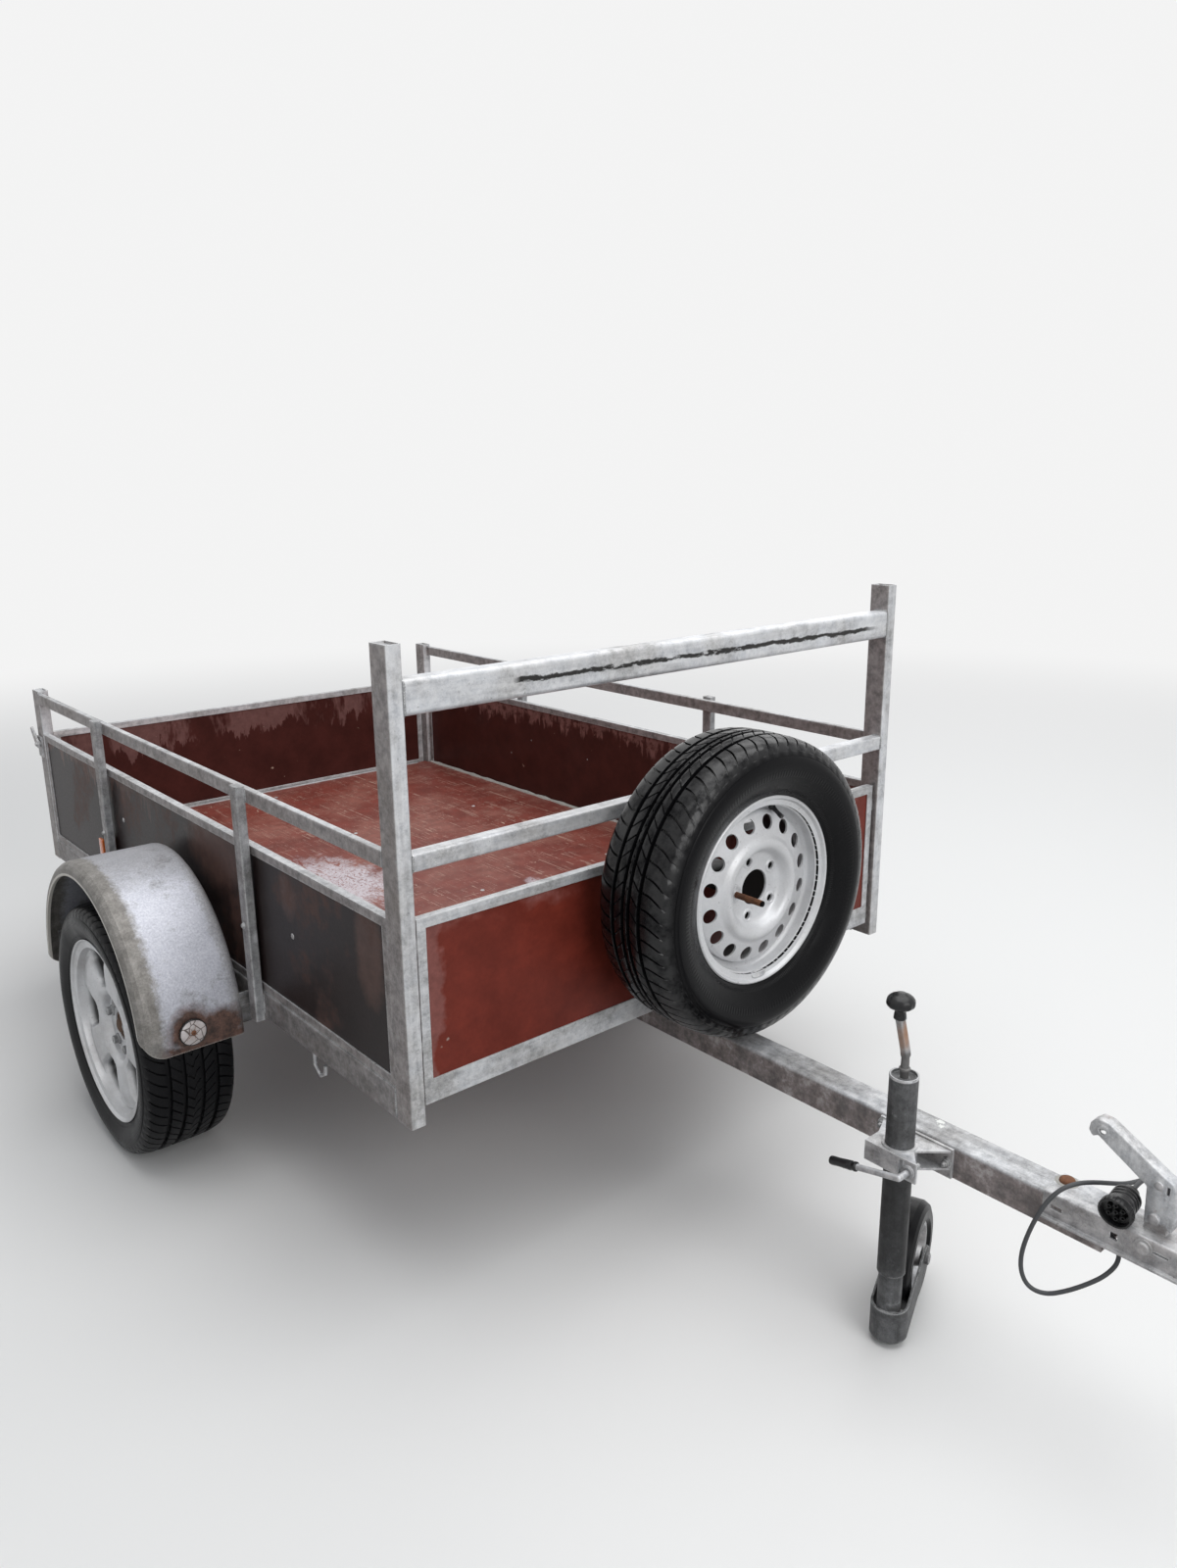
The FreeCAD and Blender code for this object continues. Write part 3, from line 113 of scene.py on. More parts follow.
# Material building blocks
class Graph:
    """A small helper that adds and links shader nodes of one material."""

    def __init__(self, name):
        self.material = bpy.data.materials.new(name)
        self.material.use_nodes = True
        self.tree = self.material.node_tree
        self.shader = self.tree.nodes["Principled BSDF"]
        self.place = None

    def node(self, kind, **values):
        made = self.tree.nodes.new(kind)
        for name, value in values.items():
            if name in made.bl_rna.properties:
                setattr(made, name, value)
            else:
                made.inputs[name.replace("_", " ")].default_value = value
        return made

    def link(self, source, target):
        self.tree.links.new(source, target)

    def coordinates(self, scale=(1, 1, 1)):
        """Object coordinates, which are the row frame's metres, stretched by a scale."""
        if self.place is None:
            self.place = self.node("ShaderNodeTexCoord").outputs["Object"]
        if tuple(scale) == (1, 1, 1):
            return self.place
        mapping = self.node("ShaderNodeMapping")
        mapping.inputs["Scale"].default_value = scale
        self.link(self.place, mapping.inputs["Vector"])
        return mapping.outputs["Vector"]

    def noise(self, scale, detail=4.0, rough=0.55, stretch=(1, 1, 1), distortion=0.0):
        made = self.node("ShaderNodeTexNoise")
        made.inputs["Scale"].default_value = scale
        made.inputs["Detail"].default_value = detail
        made.inputs["Roughness"].default_value = rough
        made.inputs["Distortion"].default_value = distortion
        self.link(self.coordinates(stretch), made.inputs["Vector"])
        return made.outputs["Fac"]

    def cells(self, scale, feature="F1", output="Color"):
        made = self.node("ShaderNodeTexVoronoi")
        made.feature = feature
        made.inputs["Scale"].default_value = scale
        self.link(self.coordinates(), made.inputs["Vector"])
        return made.outputs[output]

    def ramp(self, source, *stops):
        """A colour or grey ramp. Each stop is a place and a grey or a colour."""
        made = self.node("ShaderNodeValToRGB")
        ramp = made.color_ramp
        while len(ramp.elements) < len(stops):
            ramp.elements.new(0.5)
        for element, (place, value) in zip(ramp.elements, stops):
            element.position = place
            element.color = opaque(value)
        self.link(source, made.inputs["Fac"])
        return made.outputs["Color"]

    def mix(self, amount, first, second, blend="MIX"):
        made = self.node("ShaderNodeMix")
        made.data_type = "RGBA"
        made.blend_type = blend
        for value, socket in ((amount, made.inputs["Factor"]), (first, made.inputs["A"]),
                              (second, made.inputs["B"])):
            socket = self.pick(made, socket)
            if hasattr(value, "links"):
                self.link(value, socket)
            else:
                socket.default_value = opaque(value) if hasattr(value, "__len__") else value
        return [o for o in made.outputs if o.type == "RGBA"][0]

    def grain(self, base, share, source, *stops):
        """A colour with a grey ramp of a source overlaid on it by a share."""
        return self.mix(share, base, self.ramp(source, *stops), "OVERLAY")

    def pick(self, made, socket):
        """The colour version of a mix node's socket."""
        if socket.name == "Factor":
            return [i for i in made.inputs if i.name == "Factor" and i.type == "VALUE"][0]
        return [i for i in made.inputs if i.name == socket.name and i.type == "RGBA"][0]

    def math(self, operation, first, second=0.0, clamp=False):
        made = self.node("ShaderNodeMath")
        made.operation = operation
        made.use_clamp = clamp
        for value, socket in ((first, made.inputs[0]), (second, made.inputs[1])):
            if hasattr(value, "links"):
                self.link(value, socket)
            else:
                socket.default_value = value
        return made.outputs[0]

    def times(self, first, second, clamp=False):
        return self.math("MULTIPLY", first, second, clamp)

    def plus(self, first, second):
        return self.math("ADD", first, second)

    def less(self, first, second):
        return self.math("SUBTRACT", first, second)

    def most(self, first, second, clamp=False):
        return self.math("MAXIMUM", first, second, clamp)

    def unsigned(self, value):
        return self.math("ABSOLUTE", value)

    def patch(self, low, high, *noise):
        """0 to 1 where a noise rises from low to high."""
        return self.span(self.noise(*noise), low, high)

    def tear(self, reach, *noise):
        """A noise about 0, spread over a reach, that makes an edge ragged."""
        return self.times(self.less(self.noise(*noise), 0.5), reach)

    def over(self, base, color, amount, share=None):
        """A colour laid over another by an amount, or by a share of it."""
        if share is not None:
            amount = self.times(amount, share)
        return self.mix(amount, base, color)

    def axis(self, name):
        """One coordinate of the row frame, in metres."""
        made = self.node("ShaderNodeSeparateXYZ")
        self.link(self.coordinates(), made.inputs[0])
        return made.outputs[name]

    def along(self, name, low, high):
        """0 at one value of a coordinate and 1 at another, in metres."""
        return self.span(self.axis(name), low, high)

    def length(self, vector):
        made = self.node("ShaderNodeVectorMath", operation="LENGTH")
        self.link(vector, made.inputs[0])
        return made.outputs["Value"]

    def span(self, source, low, high):
        """0 at low and 1 at high, straight between."""
        made = self.node("ShaderNodeMapRange")
        made.inputs["From Min"].default_value = low
        made.inputs["From Max"].default_value = high
        self.link(source, made.inputs["Value"])
        return made.outputs[0]

    def bump(self, height, strength, distance, before=None):
        made = self.node("ShaderNodeBump")
        made.inputs["Strength"].default_value = strength
        made.inputs["Distance"].default_value = distance
        self.link(height, made.inputs["Height"])
        if before is not None:
            self.link(before, made.inputs["Normal"])
        return made.outputs["Normal"]

    def near(self, spot, inner, outer, stretch=(1.0, 1.0, 1.0), broken=0.0, mirrored=False):
        """1 within a distance of a spot of the drawing frame and 0 beyond another, with a torn edge.

        A mirrored spot counts on both sides of the trailer.
        """
        place = self.coordinates()
        if mirrored:
            place = self.vector("ABSOLUTE", place)
            place = self.vector("MULTIPLY", place, (1.0, -1.0 if spot[1] + SHIFT_Y < 0 else 1.0, 1.0))
        away = self.vector("MULTIPLY", self.vector("SUBTRACT", place, at(*spot)), stretch)
        far = self.length(away)
        if broken:
            far = self.plus(far, self.tear(broken, 0.35 / broken + 20.0, 5.0, 0.72))
        return self.span(far, outer, inner)

    def vector(self, operation, first, second=(0.0, 0.0, 0.0)):
        made = self.node("ShaderNodeVectorMath", operation=operation)
        self.link(first, made.inputs[0])
        made.inputs[1].default_value = second
        return made.outputs["Vector"]

    def soft_normal(self, width):
        """The surface normal with sharp edges rounded over a width in metres."""
        made = self.node("ShaderNodeBevel", samples=4)
        made.inputs["Radius"].default_value = width
        return made.outputs["Normal"]

    def edges(self, width):
        """1 along sharp edges and 0 on flat faces."""
        flat = self.node("ShaderNodeNewGeometry")
        match = self.node("ShaderNodeVectorMath", operation="DOT_PRODUCT")
        self.link(self.soft_normal(width), match.inputs[0])
        self.link(flat.outputs["Normal"], match.inputs[1])
        return self.span(match.outputs["Value"], 0.98, 0.82)

    def sides(self, name):
        """1 on faces that look along an axis and 0 on the others."""
        flat = self.node("ShaderNodeNewGeometry")
        parts = self.node("ShaderNodeSeparateXYZ")
        self.link(flat.outputs["Normal"], parts.inputs[0])
        return self.span(self.unsigned(parts.outputs[name]), 0.55, 0.85)

    def finish(self, color=None, rough=None, metal=None, normal=None, specular=0.5):
        self.shader.inputs["Specular IOR Level"].default_value = specular
        for value, name in ((color, "Base Color"), (rough, "Roughness"), (metal, "Metallic"),
                            (normal, "Normal")):
            if value is None:
                continue
            if hasattr(value, "links"):
                self.link(value, self.shader.inputs[name])
            else:
                self.shader.inputs[name].default_value = value
        return self.material


def galvanised(name, light, dark, dirt=0.35, brown=(0.16, 0.135, 0.11), rust=0.0, metal=0.35,
               grain=(1, 1, 0.10), low=None, flank=0.0):
    """Weathered hot-dip zinc: spangle, cloudy greys, streaks along its grain, grime and worn edges.

    light and dark are its greys, dirt the share of brown grime, rust the share of rust spots, grain how
    the streaks are stretched, low the heights in metres between which grime builds up, and
    flank the share of darker brown on faces that look along X, partly grime and partly
    painted shade on the trailer's sides.
    """
    g = Graph(name)
    cloud = g.noise(8.0, 6.0, 0.64)
    base = g.ramp(cloud, (0.32, (dark, dark * 0.99, dark * 0.98)),
                  (0.52, (light * 0.86, light * 0.87, light * 0.89)),
                  (0.70, (light, light * 1.02, light * 1.05)))
    spangle = g.ramp(g.cells(95.0), (0.0, 0.38), (1.0, 0.62))
    base = g.mix(0.22, base, spangle, "OVERLAY")
    fine = g.noise(380.0, 3.0, 0.65)
    base = g.grain(base, 0.30, fine, (0.35, 0.30), (0.65, 0.64))
    runs = g.noise(60.0, 5.0, 0.62, grain)
    base = g.grain(base, 0.55, runs, (0.34, 0.26), (0.66, 0.68))
    blotch = g.noise(52.0, 6.0, 0.72)
    base = g.grain(base, 0.60, blotch, (0.36, 0.24), (0.50, 0.50), (0.64, 0.72))
    patches = g.patch(0.40, 0.64, 4.2, 6.0, 0.66)
    stains = g.patch(0.44, 0.66, 26.0, 5.0, 0.7, grain)
    # Faces that look along X turn darker brown: partly grime, partly painted shade on the sides.
    base = g.mix(g.times(g.sides("X"), flank), base,
                 g.ramp(blotch, (0.36, (0.125, 0.108, 0.104)), (0.64, (0.34, 0.30, 0.29))))
    grime = g.times(stains, patches, True)
    if low is not None:
        grime = g.most(grime, g.times(g.along("Z", low[1], low[0]), patches))
    base = g.over(base, brown, g.times(grime, dirt, True))
    specks = g.patch(0.64, 0.72, 130.0, 3.0, 0.75)
    base = g.over(base, (0.09, 0.08, 0.075), specks, 0.45)
    bloom = g.times(g.patch(0.60, 0.74, 30.0, 5.0, 0.7), 0.35, True)
    base = g.over(base, (0.56, 0.58, 0.60), bloom)
    if rust > 0:
        spots = g.times(g.patch(0.58, 0.68, 22.0, 6.0, 0.72), rust, True)
        base = g.over(base, (0.19, 0.085, 0.045), spots)
    edge = g.edges(0.006)
    worn = g.times(edge, g.patch(0.38, 0.52, 40.0, 4.0, 0.7), True)
    base = g.over(base, (0.66, 0.67, 0.67), worn, 0.65)
    nicks = g.times(edge, g.patch(0.60, 0.66, 90.0, 4.0, 0.8), True)
    base = g.over(base, (0.06, 0.055, 0.05), nicks, 0.8)
    rough = g.ramp(cloud, (0.25, 0.62), (0.75, 0.42))
    normal = g.bump(g.plus(fine, cloud), 0.25, 0.0005, g.soft_normal(0.0015))
    return g, base, rough, metal, normal


def zinc(*values, **named):
    g, base, rough, metal, normal = galvanised(*values, **named)
    return g.finish(base, rough, metal, normal)


def bar_zinc(name):
    """The bars between the front posts, the top one with a dark broken strip along its front."""
    g, base, rough, metal, normal = galvanised(name, 0.76, 0.50, 0.35, grain=(0.10, 1, 1))
    tear = g.tear(0.020, 38.0, 5.0, 0.75, (0.5, 1, 1))
    height = g.plus(g.axis("Z"), tear)
    slope = g.plus(height, g.times(g.axis("X"), 0.004))
    strip = g.times(g.span(slope, 1.1285, 1.1305), g.span(slope, 1.1390, 1.1370), True)
    reach = g.times(g.along("X", -0.42, -0.405), g.along("X", 0.60, 0.55), True)
    breaks = g.patch(0.38, 0.44, 70.0, 5.0, 0.7, (0.30, 1, 1))
    strip = g.times(g.times(strip, reach), breaks, True)
    base = g.over(base, (0.018, 0.017, 0.016), strip)
    return g.finish(base, rough, metal, normal)


def drawbar_zinc(name):
    """The drawbar, bluish on top with a pale splash beside the jack, brown and mottled on its sides."""
    g, base, rough, metal, normal = galvanised(name, 0.54, 0.35, 0.25, grain=(1, 0.12, 1))
    side = g.along("Z", 0.3955, 0.3900)
    mottle = g.ramp(g.noise(26.0, 6.0, 0.72), (0.38, (0.105, 0.085, 0.080)), (0.52, (0.23, 0.185, 0.175)),
                    (0.64, (0.46, 0.42, 0.41)))
    base = g.mix(g.times(side, 0.85), base, mottle)
    splash = g.near((10.0, -606.0, 397.0), 0.0050, 0.0065, stretch=(0.9, 0.55, 1.0), broken=0.034)
    splash = g.most(splash, g.near((19.0, -596.0, 397.0), 0.0050, 0.0065, stretch=(1.0, 0.8, 1.0),
                                   broken=0.030))
    base = g.over(base, (0.72, 0.73, 0.71), splash)
    return g.finish(base, rough, metal, normal)


def bracket_zinc(name):
    """The spare's bracket: dirty zinc darkened as painted shade, and nearly black and matte as painted
    shade where it shows through the wheel's middle.
    """
    g, base, rough, metal, normal = galvanised(name, 0.17, 0.090, 0.80, (0.08, 0.065, 0.055), 0.15)
    # Painted shade: the plate behind the spare's disc turns nearly black and matte.
    dark = g.times(g.near((3.0, -170.0, 712.0), 0.150, 0.160), g.along("Y", -0.520, -0.560))
    base = g.over(base, (0.004, 0.0032, 0.003), dark)
    roughness = g.most(rough, dark)
    return g.finish(base, roughness, g.times(g.less(1.0, dark), metal), normal, 0.08)


def jack_zinc(name):
    """The jack's tubes and fork, dull dark grey, with painted shade below the clamp."""
    g, base, rough, metal, normal = galvanised(name, 0.145, 0.036, 0.45, (0.040, 0.037, 0.035), 0.0, 0.30,
                                               (1, 1, 0.06))
    # Painted shade: the tubes and fork go darker below the clamp, as in its shadow.
    painted_clamp_shade = g.times(g.along("Z", 0.356, 0.330), g.along("Z", 0.120, 0.170), True)
    base = g.over(base, (0.008, 0.0078, 0.0078), painted_clamp_shade, 0.70)
    return g.finish(base, rough, metal, normal, 0.25)


def crank_zinc(name):
    """The jack's crank, a dark round screw that turns into a pale bar with a rusty streak."""
    g, base, rough, metal, normal = galvanised(name, 0.50, 0.34, 0.30, (0.28, 0.15, 0.08), 0.35)
    low = g.along("Z", 0.566, 0.558)
    base = g.over(base, (0.11, 0.105, 0.10), low, 0.85)
    streak = g.near((-83.0, -579.0, 590.0), 0.006, 0.016, stretch=(1.0, 1.0, 0.45), broken=0.012)
    base = g.over(base, (0.36, 0.17, 0.075), streak, 0.8)
    return g.finish(base, rough, metal, normal)


def guard_zinc(name):
    """A mudguard: pale speckled field, brown-grey band along its skirt and top, rust by the reflector,
    and a painted highlight along its hem and edges.
    """
    g = Graph(name)
    speckle = g.noise(260.0, 3.0, 0.7)
    field = g.ramp(g.noise(10.0, 5.0, 0.6), (0.3, (0.43, 0.44, 0.49)), (0.7, (0.55, 0.56, 0.615)))
    band = g.ramp(g.noise(34.0, 6.0, 0.7), (0.35, (0.160, 0.150, 0.138)), (0.65, (0.285, 0.272, 0.255)))
    across = g.unsigned(g.axis("X"))
    ragged = g.tear(0.050, 60.0, 6.0, 0.8)
    across = g.plus(across, ragged)
    outer = g.span(across, 0.848, 0.866)
    inner = g.span(across, 0.722, 0.706)
    height = g.plus(g.axis("Z"), g.times(ragged, 1.5))
    top = g.times(g.span(height, 0.640, 0.672), 0.42)
    dull = g.most(g.most(outer, top), g.times(inner, 0.55))
    base = g.mix(dull, field, band)
    smudge = g.patch(0.56, 0.66, 9.0, 6.0, 0.75)
    base = g.over(base, (0.15, 0.145, 0.14), smudge, 0.55)
    base = g.grain(base, 0.42, speckle, (0.34, 0.26), (0.66, 0.70))
    stain = g.near((802.0, 614.0, 384.0), 0.036, 0.060, broken=0.030, mirrored=True)
    foot = g.plus(g.axis("Z"), g.times(ragged, 0.7))
    foot = g.times(g.span(foot, 0.372, 0.352), g.along("Y", 0.30, 0.22), True)
    foot = g.times(foot, g.span(across, 0.875, 0.850), True)
    foot = g.most(foot, g.near((748.0, 612.0, 372.0), 0.030, 0.052, stretch=(0.62, 1.0, 1.0),
                               broken=0.034, mirrored=True))
    rust = g.ramp(g.noise(48.0, 6.0, 0.75), (0.36, (0.026, 0.015, 0.012)), (0.64, (0.150, 0.080, 0.060)))
    base = g.mix(g.most(stain, foot), base, rust)
    roughness = g.plus(g.times(dull, 0.12), 0.42)
    # Painted highlight: a bright band along the outer skirt's rolled hem and along sharp edges.
    away = g.vector("MULTIPLY", g.vector("SUBTRACT", g.coordinates(), at(0.0, 934.0, 357.0)),
                    (0.0, 1.0, 1.0))
    hem_highlight = g.times(g.span(g.length(away), 0.2960, 0.2945), g.span(g.unsigned(g.axis("X")), 0.893, 0.8945),
                  True)
    hem_highlight = g.most(hem_highlight, g.times(g.edges(0.004), 0.8))
    base = g.over(base, (0.68, 0.65, 0.60), hem_highlight, 0.92)
    return g.finish(base, roughness, 0.30, g.bump(speckle, 0.22, 0.0004, g.soft_normal(0.0015)))


def film(g, wet, dry, dryness, fine):
    """Phenolic film: mottled when wet, pinkish and flat where it has dried, with a fine tooth."""
    mottle = g.patch(0.35, 0.65, 14.0, 5.0, 0.62)
    base = g.mix(mottle, dim(wet, 0.70), wet)
    pale = g.ramp(g.noise(38.0, 5.0, 0.65), (0.35, dim(dry, 0.72)), (0.65, dry))
    base = g.mix(dryness, base, pale)
    return g.grain(base, 0.30, fine, (0.3, 0.36), (0.7, 0.62))


def film_finish(g, base, dry, fine, tooth=0.20, rough=0.26):
    """A film's finish: rougher where it has dried."""
    roughness = g.plus(g.plus(g.times(dry, 0.25), g.times(fine, tooth)), rough)
    return g.finish(base, roughness, 0.0, g.bump(fine, 0.20, 0.0006), FILM_SHINE)


def add_chips(g, chips, spots, stretch):
    """Chips added to a mask. Each spot has a place of the drawing frame and a radius in metres."""
    for place, radius in spots:
        chip = g.near(place, radius * 0.2, radius * 0.35, stretch=stretch, broken=radius * 1.5)
        chips = g.most(chips, chip)
    return chips


def side_film(name):
    """Side boards: nearly black outside with brown patches, dark red inside with a dried top margin."""
    g = Graph(name)
    fine = g.noise(140.0, 4.0, 0.65)
    across = g.unsigned(g.axis("X"))
    inside = g.span(across, 0.6555, 0.6535)
    drips = g.tear(0.30, 24.0, 5.0, 0.72, (1, 1, 0.16))
    height = g.plus(g.axis("Z"), drips)
    margin = g.span(height, 0.706, 0.716)
    flakes = g.patch(0.40, 0.50, 40.0, 6.0, 0.78)
    inner_dry = g.times(margin, flakes, True)
    inner = film(g, (0.078, 0.0215, 0.0170), (0.25, 0.115, 0.100), inner_dry, fine)
    broad = g.noise(3.4, 5.0, 0.62)
    patch = g.times(g.span(broad, 0.53, 0.60), g.patch(0.36, 0.52, 46.0, 6.0, 0.8), True)
    high = g.times(margin, g.along("Y", 0.55, 0.95), True)
    marks = high
    # columns: y, z, inner and outer reach and stretch along y of each dried place on the near board
    for y, z, inner_reach, outer_reach, squeeze in ((428.0, 694.0, 0.020, 0.046, 1.0),
                                                    (120.0, 676.0, 0.055, 0.090, 1.6),
                                                    (770.0, 700.0, 0.045, 0.075, 0.45)):
        place = g.near((-660.0, y, z), inner_reach, outer_reach, stretch=(1.0, squeeze, 0.75),
                       broken=0.055)
        marks = g.most(marks, g.times(place, 0.80))
    outer = film(g, (0.020, 0.0120, 0.0120), (0.135, 0.072, 0.058),
                 g.most(g.times(patch, 0.6), marks), fine)
    base = g.mix(inside, outer, inner)
    chips = g.times(g.patch(0.735, 0.75, 30.0, 3.0, 0.8), inside, True)
    chips = add_chips(g, chips, (((650.0, 1484.0, 575.0), 0.013), ((650.0, 1097.0, 622.0), 0.010),
                                 ((650.0, 1374.0, 637.0), 0.006)), (1.0, 0.8, 1.0))
    base = g.over(base, (0.42, 0.30, 0.24), chips)
    dry = g.most(g.times(inner_dry, inside), g.times(patch, 0.6))
    return film_finish(g, base, dry, fine)


def front_film(name):
    """The front board: brick red, pinkish and dried in a soft margin at its right end and top."""
    g = Graph(name)
    fine = g.noise(140.0, 4.0, 0.65)
    wave = g.tear(0.10, 11.0, 4.0, 0.6)
    left = g.span(g.plus(g.axis("X"), wave), -0.578, -0.588)
    top = g.span(g.less(g.axis("Z"), wave), 0.712, 0.735)
    cloud = g.patch(0.46, 0.62, 7.0, 5.0, 0.6)
    dry = g.most(left, g.times(top, cloud), True)
    base = film(g, (0.205, 0.034, 0.0215), (0.31, 0.120, 0.105), g.times(dry, 0.85), fine)
    chips = g.near((-574.0, 15.0, 521.0), 0.002, 0.005, broken=0.008)
    chips = g.most(chips, g.near((-588.0, 15.0, 511.0), 0.0015, 0.004, broken=0.006))
    base = g.over(base, (0.55, 0.48, 0.42), chips)
    return film_finish(g, base, dry, fine, 0.22, 0.24)


def gate_film(name):
    """The tailgate's board: dark red inside with a dried, dripping top third and a row of chips."""
    g = Graph(name)
    fine = g.noise(140.0, 4.0, 0.65)
    drips = g.tear(0.28, 20.0, 5.0, 0.75, (1, 1, 0.20))
    height = g.plus(g.axis("Z"), drips)
    margin = g.times(g.span(height, 0.664, 0.672), 0.75)
    wet = g.patch(0.40, 0.48, 9.0, 5.0, 0.7, (1, 1, 0.3))
    dry = g.times(margin, wet, True)
    base = film(g, (0.072, 0.0195, 0.0160), (0.22, 0.108, 0.098), dry, fine)
    chips = g.times(g.patch(0.72, 0.74, 30.0, 3.0, 0.8), 0.8, True)
    # columns: x, z and radius of each chip inside
    row = ((40.0, 533.0, 0.016), (105.0, 536.0, 0.008), (130.0, 541.0, 0.009),
           (175.0, 538.0, 0.007), (200.0, 545.0, 0.010), (22.0, 676.0, 0.011))
    chips = add_chips(g, chips, [((x, 1980.0, z), radius) for x, z, radius in row], (0.7, 1.0, 1.3))
    base = g.over(base, (0.46, 0.33, 0.26), chips)
    return film_finish(g, base, dry, fine)


def floor_film(name):
    """The floor: brick red with long fine scratches, worn to wood in flecks, and wet in one place, where
    a pale reflection of the sky is painted.
    """
    g = Graph(name)
    fine = g.noise(120.0, 4.0, 0.65)
    base = film(g, (0.215, 0.050, 0.036), (0.29, 0.105, 0.080), g.patch(0.46, 0.60, 5.0, 6.0, 0.66), fine)
    scores = None
    # columns: stretch along X, stretch along Y, distortion, threshold, share
    for sx, sy, bend, edge, share in ((120.0, 0.9, 0.3, 0.655, 0.9), (95.0, 2.2, 1.2, 0.660, 0.8),
                                      (2.4, 90.0, 0.4, 0.680, 0.7), (60.0, 18.0, 3.0, 0.700, 1.0)):
        lines = g.noise(3.0, 2.0, 0.5, (sx, sy, sx), bend)
        breaks = g.patch(0.44, 0.52, 26.0, 3.0, 0.6)
        line = g.times(g.span(lines, edge, edge + 0.014), breaks, True)
        line = g.times(line, share, True)
        scores = line if scores is None else g.most(scores, line)
    base = g.over(base, (0.50, 0.35, 0.28), scores)
    flecks = g.times(g.patch(0.665, 0.685, 42.0, 4.0, 0.80, (1.0, 0.35, 1.0), 1.5), 0.9, True)
    base = g.over(base, (0.50, 0.36, 0.28), flecks)
    # Painted reflection: pale broken patches where the wet floor mirrors the sky.
    wet = g.near((-245.0, 1030.0, 457.0), 0.080, 0.150, stretch=(1.0, 0.60, 1.0), broken=0.19)
    wet = g.most(wet, g.near((140.0, 690.0, 457.0), 0.004, 0.020, stretch=(0.8, 0.6, 1.0), broken=0.04))
    reflection_droplets = g.times(g.patch(0.60, 0.53, 170.0, 4.0, 0.75),
                       g.patch(0.38, 0.45, 34.0, 5.0, 0.75, (1.0, 0.22, 1.0), 1.0), True)
    wet = g.times(wet, reflection_droplets, True)
    base = g.over(base, (0.66, 0.61, 0.655), wet, 0.88)
    roughness = g.less(g.plus(g.times(fine, 0.22), 0.34), g.times(wet, 0.32))
    return g.finish(base, roughness, 0.0, g.bump(g.less(fine, scores), 0.20, 0.0006), 0.30)


def rubber(name, centre, along, bands, color=(0.0075, 0.0075, 0.0085), rough=(0.24, 0.46), dust=0.05,
           shine=0.0):
    """Tyre rubber with damp shine, thin grey dust and fine ribs moulded round its sidewall."""
    g = Graph(name)
    parts = g.node("ShaderNodeSeparateXYZ")
    g.link(g.vector("SUBTRACT", g.coordinates(), at(*centre)), parts.inputs[0])
    turn = g.math("ARCTAN2", parts.outputs["Z"], parts.outputs[along])
    out = g.math("SQRT", g.plus(g.times(parts.outputs["Z"], parts.outputs["Z"]),
                                g.times(parts.outputs[along], parts.outputs[along])))
    ribs = 0.0
    # columns: inner and outer radius in metres, ribs round the tyre, height share
    for inner, outer, count, share in bands:
        band = g.times(g.span(out, inner, inner + 0.0015), g.span(out, outer, outer - 0.0015))
        wave = g.math("SINE", g.times(turn, count))
        ribs = g.plus(ribs, g.times(g.times(band, share), g.plus(g.times(wave, 0.5), 0.5)))
    cloud = g.noise(11.0, 5.0, 0.6)
    dusty = g.times(g.patch(0.45, 0.72, 6.0, 6.0, 0.65), dust, True)
    base = g.mix(dusty, color, (0.085, 0.080, 0.075))
    scuff = g.patch(0.60, 0.72, 90.0, 5.0, 0.75)
    base = g.over(base, (0.024, 0.024, 0.026), scuff, 0.30)
    roughness = g.ramp(cloud, (0.3, rough[0]), (0.7, rough[1]))
    fine = g.bump(g.noise(300.0, 3.0, 0.6), 0.2, 0.0003)
    damp = g.times(g.span(out, 0.262, 0.274), g.patch(0.36, 0.56, 30.0, 5.0, 0.7), True)
    if shine > 0:
        g.link(g.plus(g.times(damp, shine), 0.11), g.shader.inputs["Specular IOR Level"])
    return g.finish(base, roughness, 0.0, g.bump(ribs, 0.6, 0.0012, fine), 0.11)


def silver(name, light, dust, rough, metal, inside):
    """Silver lacquer on a wheel, with grey-brown road dust, bright worn edges and painted shade inside.

    inside gives the wheel's centre, the letter of its axle, where along it the painted shade starts and
    where it is full, and the radius of the middle that the painted shade leaves out, the last three in
    metres.
    """
    g = Graph(name)
    dusty = g.times(g.patch(0.40, 0.66, 7.0, 6.0, 0.66), dust, True)
    base = g.mix(dusty, (light, light * 1.01, light * 1.03), (0.24, 0.22, 0.20))
    base = g.grain(base, 0.25, g.noise(300.0, 3.0, 0.6), (0.34, 0.34), (0.66, 0.62))
    specks = g.patch(0.63, 0.70, 110.0, 4.0, 0.75)
    base = g.over(base, (0.12, 0.105, 0.095), specks, 0.45)
    edge = g.edges(0.0025)
    base = g.over(base, (0.74, 0.74, 0.74), edge, 0.45)
    centre, along, unshaded, fully_shaded, bore = inside
    depth = g.span(g.unsigned(g.axis(along)), unshaded, fully_shaded)
    away = g.vector("SUBTRACT", g.vector("ABSOLUTE", g.coordinates()),
                    tuple(abs(part) for part in at(*centre)))
    away = g.vector("MULTIPLY", away, (0.0, 1.0, 1.0) if along == "X" else (1.0, 0.0, 1.0))
    # Painted shade: behind the face and outside the middle, the wheel's inside goes nearly black.
    painted_inner_shade = g.times(depth, g.span(g.length(away), bore, bore + INNER_SHADE_EDGE), True)
    base = g.over(base, (0.010, 0.0095, 0.009), painted_inner_shade, 0.95)
    roughness = g.plus(g.times(g.noise(12.0, 4.0, 0.6), 0.25), rough - 0.12)
    return g.finish(base, roughness, metal, g.bump(g.noise(260.0, 3.0, 0.6), 0.10, 0.0003))


